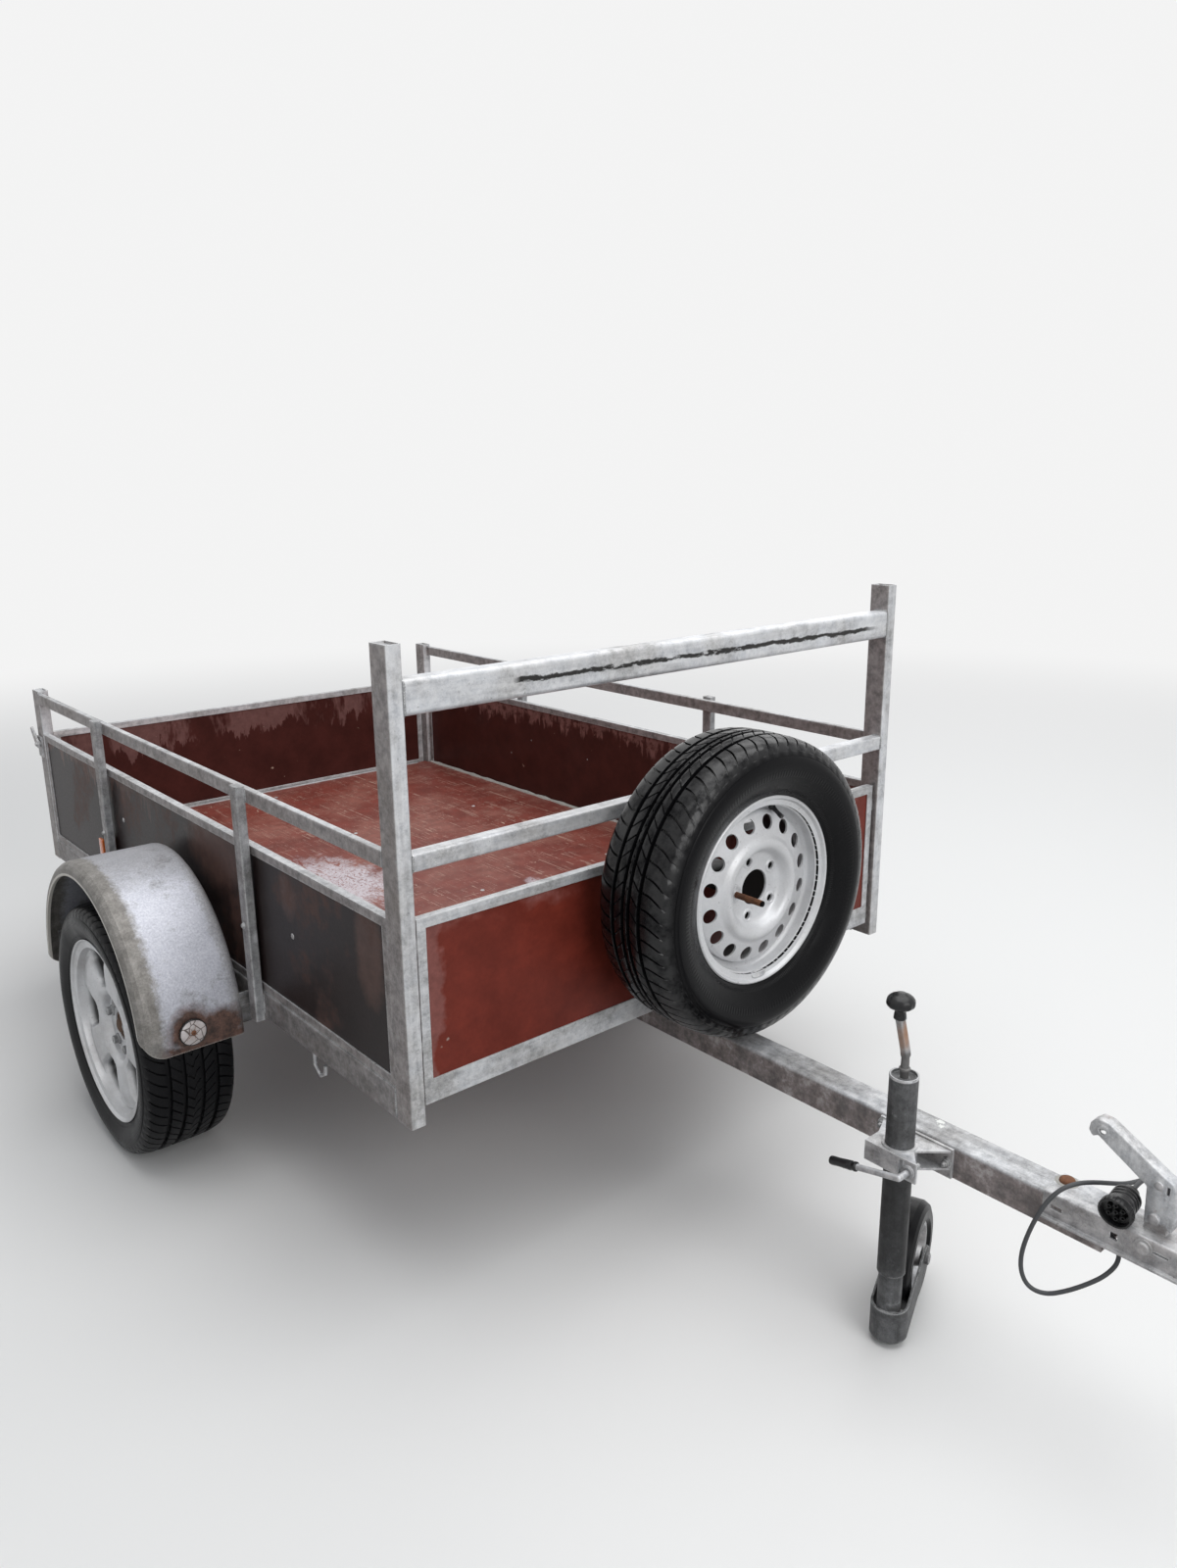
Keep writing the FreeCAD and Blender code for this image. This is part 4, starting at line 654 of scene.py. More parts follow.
def rusty(name, light=(0.30, 0.13, 0.06), dark=(0.10, 0.045, 0.03)):
    """Bare steel gone to brown rust."""
    g = Graph(name)
    base = g.ramp(g.noise(60.0, 6.0, 0.7), (0.32, dark), (0.68, light))
    return g.finish(base, 0.85, 0.1, g.bump(g.noise(180.0, 5.0, 0.75), 0.6, 0.0012))


def plastic(name, color, rough, variation=0.15):
    """Moulded plastic with a faint mottle, fine dust and a damp sheen."""
    g = Graph(name)
    mottle = g.noise(45.0, 4.0, 0.6)
    base = g.grain(color, variation, mottle, (0.3, 0.32), (0.7, 0.62))
    dusty = g.times(g.patch(0.52, 0.70, 18.0, 6.0, 0.7), 0.18, True)
    base = g.over(base, (0.13, 0.125, 0.12), dusty)
    roughness = g.plus(g.times(mottle, 0.2), rough - 0.08)
    return g.finish(base, roughness, 0.0, g.bump(g.noise(500.0, 2.0, 0.5), 0.12, 0.0002), 0.35)


def lens(name, color):
    """A coloured lens with small prisms behind its face."""
    g = Graph(name)
    prisms = g.cells(300.0, "F1", "Distance")
    base = g.grain(color, 0.35, prisms, (0.0, 0.35), (0.6, 0.70))
    material = g.finish(base, 0.12, 0.0, g.bump(prisms, 0.25, 0.0006))
    g.shader.inputs["Coat Weight"].default_value = 0.6
    g.shader.inputs["Coat Roughness"].default_value = 0.05
    return material


def cracked_lens(name):
    """The old white reflectors: chalky and pinkish, split by fine cracks from a dark screw."""
    g = Graph(name)
    base = g.ramp(g.noise(40.0, 5.0, 0.65), (0.35, (0.50, 0.45, 0.44)), (0.65, (0.68, 0.64, 0.63)))
    cracks = g.cells(46.0, "DISTANCE_TO_EDGE", "Distance")
    base = g.over(base, (0.10, 0.075, 0.065), g.span(cracks, 0.050, 0.020))
    hole = g.near((802.0, 614.0, 381.0), 0.0045, 0.0065, broken=0.004, mirrored=True)
    grime = g.near((802.0, 614.0, 377.0), 0.004, 0.017, broken=0.014, mirrored=True)
    base = g.over(base, (0.20, 0.13, 0.10), grime, 0.55)
    base = g.over(base, (0.030, 0.022, 0.018), hole)
    return g.finish(base, 0.32, 0.0, g.bump(cracks, 0.5, 0.0010))


zinc_frame = zinc("zinc_frame", 0.76, 0.46, 0.50, (0.20, 0.17, 0.145), low=(0.40, 0.66), flank=0.85)
zinc_upright = zinc("zinc_uprights", 0.44, 0.22, 0.60, flank=0.50)
zinc_rail = zinc("zinc_rails", 0.64, 0.38, 0.45, grain=(1, 0.10, 1), flank=0.85)
zinc_across = zinc("zinc_panels", 0.70, 0.42, 0.55, (0.23, 0.195, 0.155), grain=(0.12, 1, 1), flank=0.4)
zinc_sill = zinc("zinc_sills", 0.30, 0.16, 0.80, (0.12, 0.098, 0.080), 0.15, grain=(0.3, 0.12, 1),
                 flank=0.6)
zinc_bar = bar_zinc("zinc_bars")
zinc_drawbar = drawbar_zinc("zinc_drawbar")
zinc_guard = guard_zinc("zinc_guards")
zinc_bracket = bracket_zinc("zinc_bracket")
zinc_plated = zinc("zinc_coupling", 0.66, 0.44, 0.35, (0.26, 0.20, 0.16), 0.10, 0.45, (1, 0.3, 1),
                   flank=0.45)
zinc_jack = jack_zinc("zinc_jack")
zinc_crank = crank_zinc("zinc_crank")
zinc_lever = zinc("zinc_lever", 0.66, 0.46, 0.30, (0.26, 0.17, 0.11), 0.25, 0.45)
bolt_steel = zinc("bolt_steel", 0.30, 0.16, 0.5, (0.13, 0.09, 0.07), 0.30, 0.5)
side_ply = side_film("side_plywood")
front_ply = front_film("front_plywood")
gate_ply = gate_film("gate_plywood")
floor_ply = floor_film("floor_plywood")
ROAD_CENTRE = (797.0, 934.0, 288.0)
SPARE_CENTRE = (3.0, -135.0, 712.0)
road_rubber = rubber("road_rubber", ROAD_CENTRE, "Y",
                     ((0.214, 0.222, 260.0, 0.5), (0.239, 0.255, 150.0, 0.35), (0.261, 0.269, 72.0, 0.8)))
spare_rubber = rubber("spare_rubber", SPARE_CENTRE, "X",
                      ((0.189, 0.197, 300.0, 0.6), (0.222, 0.236, 190.0, 0.35),
                       (0.262, 0.271, 64.0, 1.0)), (0.0042, 0.0042, 0.0050), (0.15, 0.34), 0.02, 0.30)
alloy_silver = silver("alloy_silver", 0.74, 0.40, 0.36, 0.35, (ROAD_CENTRE, "X", 0.859, 0.848, 0.086))
rim_silver = silver("rim_silver", 0.70, 0.25, 0.40, 0.25, (SPARE_CENTRE, "Y", 0.6105, 0.603, 0.086))
rust_brown = rusty("rust_brown")
hub_iron = rusty("hub_iron", (0.20, 0.12, 0.08), (0.07, 0.05, 0.04))
pale_sealant = plastic("pale_sealant", (0.42, 0.41, 0.38), 0.6, 0.4)
black_plastic = plastic("black_plastic", (0.012, 0.012, 0.013), 0.26)
grey_sheath = plastic("grey_sheath", (0.070, 0.072, 0.076), 0.42)
white_lens = cracked_lens("white_lens")
amber_lens = lens("amber_lens", (0.80, 0.16, 0.02))
red_lens = lens("red_lens", (0.42, 0.02, 0.015))

dice = random.Random(7)

# The nodes that keep their CAD shape or are hidden, by material
NODE_FINISH = (
    (zinc_frame, "corner_posts"),
    (zinc_sill, "side_sills cross_members rear_sill axle mudguard_stays"),
    (zinc_upright, "side_uprights"),
    (zinc_rail, "rack_rails side_board_frames"),
    (zinc_across, "front_board_frame tailgate_frame"),
    (zinc_bar, "front_bars"),
    (zinc_drawbar, "drawbar"),
    (zinc_guard, "mudguard_left mudguard_right"),
    (zinc_bracket, "spare_bracket"),
    (zinc_plated, "tailgate_latches coupling_body coupling_head jack_clamp jack_clamp_handle"),
    (zinc_plated, "jack_wheel_rim rope_hooks"),
    (zinc_lever, "coupling_lever"),
    (zinc_crank, "jack_crank"),
    (zinc_jack, "jack_tube jack_nut jack_fork"),
    (side_ply, "side_boards"),
    (front_ply, "front_board"),
    (floor_ply, "floor_board"),
    (gate_ply, "tailgate_board"),
    (hub_iron, "hub_left hub_right"),
    (alloy_silver, "wheel_rim_left wheel_rim_right"),
    (rim_silver, "spare_rim"),
    (road_rubber, "tyre_left tyre_right jack_tyre"),
    (spare_rubber, "spare_tyre"),
    (white_lens, "front_reflectors"),
    (amber_lens, "side_reflectors"),
    (red_lens, "tail_lamps"),
    (black_plastic, "jack_clamp_grip jack_knob plug"),
    (grey_sheath, "lead"),
)


def paint_nodes():
    for material, names in NODE_FINISH:
        for name in names.split():
            mesh = nodes[name].data
            mesh.materials.clear()
            mesh.materials.append(material)


# The lead, from inside the drawbar's mouth to the plug. Columns: x, y, z in the drawing frame.
LEAD_ROUTE = ((26.0, -885.0, 366.0), (4.0, -885.0, 366.0), (-8.0, -904.0, 364.0),
              (-10.0, -923.0, 351.0), (-19.0, -930.0, 330.0), (-34.0, -919.0, 308.0),
              (-48.0, -899.0, 288.0), (-60.0, -875.0, 268.0), (-71.0, -850.0, 253.0),
              (-80.0, -827.0, 256.0), (-84.0, -814.0, 277.0), (-84.0, -811.0, 307.0),
              (-80.0, -815.0, 340.0), (-71.0, -822.0, 373.0), (-59.0, -831.0, 402.0),
              (-42.0, -842.0, 421.0), (-20.0, -857.0, 429.0), (4.0, -872.0, 427.0),
              (28.0, -885.0, 421.0), (51.0, -896.0, 415.0), (71.0, -908.0, 417.0),
              (83.0, -923.0, 428.0), (77.0, -935.0, 440.0), (58.0, -930.0, 444.0),
              (36.6, -921.3, 437.1), (15.0, -922.4, 433.6))
LEAD_RADIUS = 0.0035


def make_lead():
    curve = bpy.data.curves.new("lead_cord", "CURVE")
    curve.dimensions = "3D"
    spline = curve.splines.new("NURBS")
    spline.points.add(len(LEAD_ROUTE) - 1)
    for point, spot in zip(spline.points, LEAD_ROUTE):
        point.co = (*at(*spot), 1.0)
    spline.order_u = 3
    spline.use_endpoint_u = True
    curve.resolution_u = 10
    curve.bevel_depth = LEAD_RADIUS
    curve.bevel_resolution = 5
    curve.use_fill_caps = True
    curve.materials.append(grey_sheath)
    lead = add_object("lead_cord", curve)
    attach(lead, "trailer")
    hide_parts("lead")


# The light of the surround and its strength, and its tone as it is seen. Then the floor's tone as it
# lights the object from below, and as it is seen.
SKY = (0.92, 0.95, 1.0)
SKY_STRENGTH = 0.38
PALE = 0.90
FLOOR_LIT = (0.34, 0.34, 0.34)
FLOOR_SEEN = (0.82, 0.82, 0.81)
# Distances from the middle, in metres, over which the floor turns into the surround
FADE_START = 2.6
FADE_END = 8.0


def seen_directly(tree):
    """1 for what the camera, a mirror or glass shows, and 0 for what lights the object."""
    path = tree.nodes.new("ShaderNodeLightPath")
    seen = path.outputs["Is Camera Ray"]
    for name in ("Is Glossy Ray", "Is Transmission Ray"):
        either = tree.nodes.new("ShaderNodeMath")
        either.operation = "MAXIMUM"
        tree.links.new(seen, either.inputs[0])
        tree.links.new(path.outputs[name], either.inputs[1])
        seen = either.outputs[0]
    return seen


def make_floor_material():
    """A pale floor that keeps the object's shadow and turns into the even surround further out."""
    g = Graph("pale_floor")
    material = g.finish(rough=0.85, metal=0.0)
    fade = g.node("ShaderNodeMapRange")
    fade.interpolation_type = "SMOOTHSTEP"
    fade.inputs["From Min"].default_value = FADE_START
    fade.inputs["From Max"].default_value = FADE_END
    g.link(g.length(g.coordinates()), fade.inputs["Value"])
    glow = g.node("ShaderNodeEmission")
    glow.inputs["Color"].default_value = opaque(PALE)
    seen = seen_directly(g.tree)
    tone = g.mix(seen, FLOOR_LIT, FLOOR_SEEN)
    g.link(tone, g.shader.inputs["Base Color"])
    mixed = g.node("ShaderNodeMixShader")
    g.link(g.times(seen, fade.outputs[0]), mixed.inputs["Fac"])
    g.link(g.shader.outputs[0], mixed.inputs[1])
    g.link(glow.outputs[0], mixed.inputs[2])
    g.link(mixed.outputs[0], g.tree.nodes["Material Output"].inputs["Surface"])
    return material


def make_stage():
    """A plain floor, a pale surround and soft lamps."""
    data = bpy.data.meshes.new("floor")
    size = 60.0
    data.from_pydata([(-size, -size, 0), (size, -size, 0), (size, size, 0), (-size, size, 0)], [],
                     [(0, 1, 2, 3)])
    floor = add_object("floor", data)
    data.materials.append(make_floor_material())
    world = bpy.data.worlds.new("surround")
    bpy.context.scene.world = world
    world.use_nodes = True
    tree = world.node_tree
    tree.nodes.clear()
    lit = tree.nodes.new("ShaderNodeBackground")
    lit.inputs["Color"].default_value = opaque(SKY)
    lit.inputs["Strength"].default_value = SKY_STRENGTH
    shown = tree.nodes.new("ShaderNodeBackground")
    shown.inputs["Color"].default_value = opaque(PALE)
    shown.inputs["Strength"].default_value = 1.0
    mixed = tree.nodes.new("ShaderNodeMixShader")
    out = tree.nodes.new("ShaderNodeOutputWorld")
    tree.links.new(seen_directly(tree), mixed.inputs["Fac"])
    tree.links.new(lit.outputs[0], mixed.inputs[1])
    tree.links.new(shown.outputs[0], mixed.inputs[2])
    tree.links.new(mixed.outputs[0], out.inputs["Surface"])
    # columns: name, place, aim, size, power
    lamps = (("overhead", (0.6, -1.0, 6.0), (0, 0, 0.4), 6.0, 260),
             ("front", (-1.0, -6.6, 3.8), (0, -0.3, 0.5), 4.0, 150),
             ("far_side", (5.0, 2.0, 4.0), (0, 0, 0.5), 4.0, 60))
    for name, place, aim, size, power in lamps:
        lamp = bpy.data.lights.new(name, "AREA")
        lamp.size = size
        lamp.energy = power
        holder = add_object(name, lamp)
        holder.location = place
        holder.rotation_euler = (Vector(aim) - Vector(place)).to_track_quat("-Z", "Y").to_euler()
    bpy.context.scene.view_settings.view_transform = "Standard"


# Mesh building blocks
def seat(origin, axis=(0, 0, 1)):
    """A matrix from local millimetres, with z along the axis, to the row frame."""
    z = Vector(axis).normalized()
    x = (Vector((0, 0, 1)).cross(z) if abs(z.z) < 0.999 else Vector((1, 0, 0))).normalized()
    turn = Matrix((x, z.cross(x), z)).transposed().to_4x4()
    return Matrix.Translation(at(*origin)) @ turn @ Matrix.Scale(0.001, 4)


DRAWING = seat((0, 0, 0))


class Shape:
    """Collects points and faces, and turns them into one piece."""

    def __init__(self):
        self.points = []
        self.faces = []

    def add(self, points, faces, place=DRAWING):
        start = len(self.points)
        self.points += [place @ Vector(point) for point in points]
        self.faces += [tuple(start + number for number in face) for face in faces]

    def grid(self, rows, place=DRAWING, around=False, along=False):
        """Rows of points joined by quads, closed round each row and from last row to first."""
        count = len(rows[0])
        points = [point for row in rows for point in row]
        faces = []
        for row in range(len(rows) if along else len(rows) - 1):
            after = (row + 1) % len(rows)
            for column in range(count if around else count - 1):
                beside = (column + 1) % count
                faces.append((row * count + column, row * count + beside,
                              after * count + beside, after * count + column))
        self.add(points, faces, place)

    def lathe(self, profile, place, steps=64, closed=False):
        """A profile of radius and height turned about the local z axis."""
        rows = []
        for radius, height in profile:
            rows.append([polar(radius, ROUND * step / steps, height) for step in range(steps)])
        self.grid(rows, place, around=True, along=closed)

    def prism(self, outline, low, high, place=DRAWING):
        """An outline of two coordinates between two heights, closed at both ends."""
        count = len(outline)
        points = [(a, b, low) for a, b in outline] + [(a, b, high) for a, b in outline]
        faces = [tuple(range(count))[::-1], tuple(range(count, 2 * count))]
        faces += [(i, (i + 1) % count, count + (i + 1) % count, count + i) for i in range(count)]
        self.add(points, faces, place)

    def box(self, low, high, place=DRAWING):
        (x0, y0, z0), (x1, y1, z1) = low, high
        self.prism([(x0, y0), (x1, y0), (x1, y1), (x0, y1)], z0, z1, place)

    def tube(self, spots, radii, sides):
        """A round bar along points, with a radius at each point, closed at both ends."""
        rows = []
        side = None
        for number, spot in enumerate(spots):
            ahead = spots[min(number + 1, len(spots) - 1)] - spots[max(number - 1, 0)]
            ahead.normalize()
            if side is None:
                side = ahead.orthogonal().normalized()
            side = (side - ahead * side.dot(ahead)).normalized()
            other = ahead.cross(side)
            turns = [polar(1.0, ROUND * step / sides) for step in range(sides)]
            rows.append([spot + (side * a + other * b) * radii[number] for a, b in turns])
        self.grid(rows, around=True)
        for row, turn in ((rows[0], -1), (rows[-1], 1)):
            self.add(row, [tuple(range(sides))[::turn]])

    def piece(self, name, material, body="trailer", node=None, bevel=0.0, steps=2, sharp=38, solid=True):
        """Finish the mesh, with edges rounded by a bevel in millimetres, as a piece that rides on a body.

        Where a node is named, the piece stands for it and hides it.
        """
        mesh = bpy.data.meshes.new(name)
        mesh.from_pydata(self.points, [], self.faces)
        shape = bmesh.new()
        shape.from_mesh(mesh)
        bmesh.ops.remove_doubles(shape, verts=shape.verts, dist=2e-6)
        bmesh.ops.dissolve_degenerate(shape, edges=shape.edges, dist=1e-6)
        if solid:
            bmesh.ops.recalc_face_normals(shape, faces=shape.faces)
        if bevel > 0:
            edges = [edge for edge in shape.edges
                     if len(edge.link_faces) == 2 and edge.calc_face_angle() > math.radians(30)]
            bmesh.ops.bevel(shape, geom=edges, offset=bevel / 1000, segments=steps, profile=0.5,
                            affect="EDGES", clamp_overlap=True)
        shape.to_mesh(mesh)
        shape.free()
        mesh.shade_smooth()
        mesh.set_sharp_from_angle(angle=math.radians(sharp))
        mesh.materials.append(material)
        made = add_object(name, mesh)
        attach(made, body)
        if node is not None:
            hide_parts(node)
        return made


def hexagon(across_flats):
    radius = across_flats / math.sqrt(3)
    return [polar(radius, math.pi / 3 * corner) for corner in range(6)]


def add_bolt(shape, origin, axis, across, height, washer=0.0, stud=0.0):
    """A hexagon head with a chamfer, over a washer and round a stud where those are set."""
    place = seat(origin, axis)
    foot = 0.0
    if washer > 0:
        shape.lathe([(0, 0), (washer, 0), (washer, 1.6), (0, 1.6)], place, 32)
        foot = 1.6
    outline = hexagon(across)
    shape.prism(outline, foot, foot + height - 1.2, place)
    inner = hexagon(across - 3.0)
    rows = [[(x, y, foot + height - 1.2) for x, y in outline], [(x, y, foot + height) for x, y in inner]]
    shape.grid(rows, place, around=True)
    shape.add(rows[1], [tuple(range(6))], place)
    if stud > 0:
        shape.lathe([(stud, foot + height - 1), (stud, foot + height + 5), (stud - 1, foot + height + 6),
                     (0, foot + height + 6)], place, 20)


def add_rivet(shape, origin, axis, radius, height):
    """A domed rivet head."""
    profile = [(radius * math.cos(step * math.pi / 12), height * math.sin(step * math.pi / 12))
               for step in range(7)]
    shape.lathe(profile, seat(origin, axis), 28)


def add_thread(shape, place, sides, turns, pitch, radius, depth):
    """A screw thread about the local z axis, eight rows to a turn. It returns the last row."""
    rows = []
    for step in range(turns * 8 + 1):
        row = []
        for number in range(sides):
            phase = (step / 8 - number / sides) % 1.0
            reach = radius + depth * (1 - abs(2 * phase - 1) * 2)
            row.append(polar(reach, ROUND * number / sides, step * pitch / 8))
        rows.append(row)
    shape.grid(rows, place, around=True)
    return rows[-1]


WELD_RIPPLE = 4.5


def add_weld(shape, start, end, radius):
    """A weld bead: a low rippled bar half sunk in the corner that it fills."""
    start = Vector(start)
    end = Vector(end)
    count = max(4, int((end - start).length / WELD_RIPPLE * 4))
    route = []
    radii = []
    for step in range(count + 1):
        part = step / count
        swell = 0.82 + 0.18 * math.cos(part * count / 4 * ROUND)
        fade = min(1.0, 0.45 + min(step, count - step) * 0.22)
        wander = Vector((dice.uniform(-1, 1), dice.uniform(-1, 1), dice.uniform(-1, 1))) * 0.25
        route.append(start.lerp(end, part) + wander)
        radii.append(radius * swell * fade)
    shape.tube(route, radii, sides=8)


# Wheels: the spare's face, and the radius that the road wheels' and the spare's bolts stand on
SPARE_DISC_Y = -177.0
BOLT_CIRCLE = 56.0

# Half a road tyre from the bead to the middle. Columns: across, radius, depth of the cross cuts
ROAD_TYRE = ((82.5, 190, 0), (82.5, 205, 0), (84.5, 208.5, 0), (87, 209.5, 0), (89.5, 213, 0),
             (93.5, 222, 0), (97.5, 233, 0), (100, 243, 0), (100.4, 250, 0), (99.2, 258, 0),
             (98.6, 259, 0), (97.9, 258.8, 0), (96, 266, 0), (94, 271, 0.15), (91.5, 275.5, 1.5),
             (88, 279.0, 4.0), (82, 281.8, 5.5), (74, 284.2, 6.5), (66, 285.8, 7.0), (57, 286.7, 7.0),
             (55.8, 286.2, 7.0), (54.6, 279.5, 0), (47.4, 279.5, 0), (46.2, 286.8, 4.0),
             (44.5, 287.3, 5.0), (36, 287.6, 5.0), (26, 287.8, 4.0), (24.2, 287.4, 2.0),
             (23, 280.3, 0), (16, 280.3, 0), (14.8, 287.6, 1.0), (13.2, 288, 3.0), (6, 288, 4.0),
             (0, 288, 4.0))
SPARE_TYRE = ((63.5, 165, 0), (63.5, 179, 0), (65.5, 182.5, 0), (68.5, 183.5, 0), (72, 188, 0),
              (79, 199, 0), (86, 212, 0), (91.5, 226, 0), (94.3, 239, 0), (94.2, 250, 0),
              (92.6, 259, 0), (91.8, 260, 0), (91.0, 259.8, 0), (88.6, 267, 0), (85.5, 274, 0.2),
              (81.5, 280, 1.2), (76, 284.8, 2.6), (69, 288.0, 4.2), (60, 290.4, 5.0), (50, 292.0, 5.4),
              (41, 292.8, 5.4), (39, 293.0, 4.0), (37.8, 292.4, 2.0), (36.6, 285.8, 0), (30.2, 285.8, 0),
              (29.0, 292.9, 1.5), (27.4, 293.4, 3.0), (20, 293.7, 4.0), (13.4, 293.8, 3.0),
              (11.8, 293.3, 1.5), (10.6, 286.3, 0), (4.6, 286.3, 0), (3.4, 293.5, 1.5), (1.8, 294, 2.0),
              (0, 294, 2.0))


def make_tyre(name, node, body, centre, axis, half, pitches, rubber_material):
    """A tyre with circumferential grooves in its profile and curved cross cuts round it."""
    profile = [(across, out, cut) for across, out, cut in half]
    profile += [(-across, out, cut) for across, out, cut in half[-2::-1]]
    # columns: share of a pitch, whether the column lies in a cut
    columns = ((0.0, 0), (0.42, 0), (0.84, 0), (0.865, 1), (0.975, 1))
    shoulder = half[14][0]
    inner = half[22][0]
    place = seat(centre, axis)
    rows = []
    for number in range(pitches):
        for share, inside in columns:
            row = []
            for across, out, cut in profile:
                reach = max(0.0, (abs(across) - inner) / (shoulder - inner))
                sweep = 0.9 * reach ** 2.0 if abs(across) > inner else 0.035 * across
                shift = 0.37 if across < 0 else 0.0
                angle = ROUND * (number + share + sweep * (1 if across > 0 else -1) + shift) / pitches
                radius = out - cut * inside
                row.append(polar(radius, angle, across))
            rows.append(row)
    shape = Shape()
    shape.grid(rows, place, along=True)
    bead = half[0]
    shape.lathe([(bead[1], bead[0]), (bead[1], -bead[0])], place, 96)
    shape.piece(name, rubber_material, body, node, sharp=32)


def smooth_step(low, high, value):
    share = min(1.0, max(0.0, (value - low) / (high - low)))
    return share * share * (3 - 2 * share)


# One window of the road rim, from the inner end round. Columns: across, distance from the axis
WINDOW = ((-22.0, 99.0), (22.0, 99.0), (55.0, 160.0), (36.0, 177.0), (-36.0, 177.0), (-55.0, 160.0))
SPOKES = 5


def window_depth(angle, radius):
    """How far a spot of the rim's face lies inside the nearest window, in millimetres."""
    pitch = ROUND / SPOKES
    local = (angle - pitch / 2) % pitch
    if local > pitch / 2:
        local -= pitch
    x = radius * math.sin(local)
    y = radius * math.cos(local)
    total = 0.0
    for (x0, y0), (x1, y1) in zip(WINDOW, WINDOW[1:] + WINDOW[:1]):
        run_x = x1 - x0
        run_y = y1 - y0
        inside = (run_x * (y - y0) - run_y * (x - x0)) / math.hypot(run_x, run_y)
        total += math.exp(-inside / 5.0)
    return -5.0 * math.log(total)


def make_road_rim(name, node, body, side):
    """A cast rim with broad spokes, scooped windows and a recessed middle, over a plain barrel."""
    centre = (side * ROAD_CENTRE[0], *ROAD_CENTRE[1:])
    place = seat(centre, (side, 0, 0))
    # Radii of the face's rings, and the face's height over the wheel's middle plane at some of them
    crown = ((33, 47), (70, 47), (72, 48), (74.5, 54), (76, 62), (79, 65), (84, 66.5), (92, 68),
             (120, 71), (150, 71.5), (168, 69), (177, 66), (183, 67))
    radii = [33, 38, 50, 62, 68, 70, 71, 72, 73.2, 74.5, 76, 77.5, 79, 82, 86, 90, 94]
    radii += [97 + 2.2 * step for step in range(37)]
    radii += [180.5, 183]
    columns = 440
    rows = []
    for radius in radii:
        for (r0, h0), (r1, h1) in zip(crown, crown[1:]):
            if r0 <= radius <= r1:
                height = h0 + (h1 - h0) * (radius - r0) / (r1 - r0)
        row = []
        for column in range(columns):
            angle = ROUND * column / columns
            depth = window_depth(angle, radius)
            swell = 2.5 * smooth_step(0.0, -26.0, depth) if radius > 84 else 0.0
            drop = 48.0 * smooth_step(-7.0, 9.0, depth) - swell
            row.append(polar(radius, angle, height - drop, depth))
        rows.append(row)
    shape = Shape()
    points = [point[:3] for row in rows for point in row]
    faces = []
    for row in range(len(rows) - 1):
        for column in range(columns):
            beside = (column + 1) % columns
            corners = ((row, column), (row, beside), (row + 1, beside), (row + 1, column))
            if min(rows[r][c][3] for r, c in corners) > 9.0:
                continue
            faces.append(tuple(r * columns + c for r, c in corners))
    shape.add(points, faces, place)
    outer = [(183, 67), (185, 70), (186.5, 76), (188, 82), (192, 83.5), (203, 84.5), (206.5, 86.5),
             (208.5, 88.8), (208.2, 90), (206, 90.2), (203.5, 88), (201.5, 82.5), (190, 82.5), (190, 57),
             (174, 42), (174, -33), (190, -46), (190, -82.5), (207.5, -83), (208.5, -86), (207.5, -89.3),
             (203, -88.5), (186.5, -83), (183, -52), (168, -38), (168, 38), (178, 52), (183, 67)]
    shape.lathe(outer, place, 160)
    back = [(33, 47), (33, 40.3), (76, 40.3), (88, 52), (98, 55)]
    shape.lathe(back, place, 96)
    shape.lathe([(36, 47.5), (37, 48.6), (40, 48.6), (41, 47.5)], place, 72)
    shape.piece(name, alloy_silver, body, node, sharp=40, solid=False)
    bolts = Shape()
    face = ROAD_CENTRE[0] + 47.0
    for number in range(5):
        angle = math.radians(90 + 72 * number)
        out, up = polar(BOLT_CIRCLE, angle)
        spot = (side * face, ROAD_CENTRE[1] + out, ROAD_CENTRE[2] + up)
        bolts.lathe([(13, 0.4), (13, 2.2), (11.5, 4), (8, 4)], seat(spot, (side, 0, 0)), 36)
        add_bolt(bolts, (spot[0] + side * 3.0, spot[1], spot[2]), (side, 0, 0), 17, 11)
    bolts.piece(name + "_bolts", bolt_steel, body, bevel=0.4)
    cap = Shape()
    cap.lathe([(32.5, 27), (32.5, 43), (31, 46), (27, 47), (25.5, 44.5), (22, 44), (20, 48), (15, 54),
               (8, 56.5), (0, 57)], place, 64)
    cap.piece(name + "_hub_end", hub_iron, body)


# The spare's steel wheel from its bore to its lip. Columns: radius, height over its face
SPARE_DISC = ((34, -5), (34, -1.2), (35, 0.6), (37, 1.2), (39.5, 0.9), (42, 0), (63, 0), (67, 0.9),
              (70.5, 4), (73.5, 9), (76.5, 14.5), (80, 18.6), (84, 21), (89, 22), (94, 21.4),
              (98.5, 18.8), (102, 15.6), (105, 13.4), (109, 12.2), (113, 11.2), (143, 1.8), (146.5, 0.2),
              (148.5, -3), (149.5, -12), (150, -16), (147, -16), (145.5, -4.5), (142, -2), (112, 7.4),
              (106, 9), (101, 11.6), (97, 15), (92, 17.8), (87, 18), (82, 15.5), (78.5, 10.5), (75, 3),
              (71, -3), (66, -4.4), (40, -4.6))
SPARE_BARREL = ((151, 30), (151, 23.5), (165, 37.5), (165, 63.5), (182, 64.5), (183.5, 66.5), (183, 69.5),
                (180.5, 71.2), (177.5, 70.2), (175.5, 67), (174, 64), (171, 60), (162, 57), (161, 43),
                (159, 38), (153, 33), (148, 27), (147, 12), (147, -18), (161, -33), (161, -70),
                (181, -71), (182, -63.5), (165, -63.5), (165, -27.5), (151, -13.5))


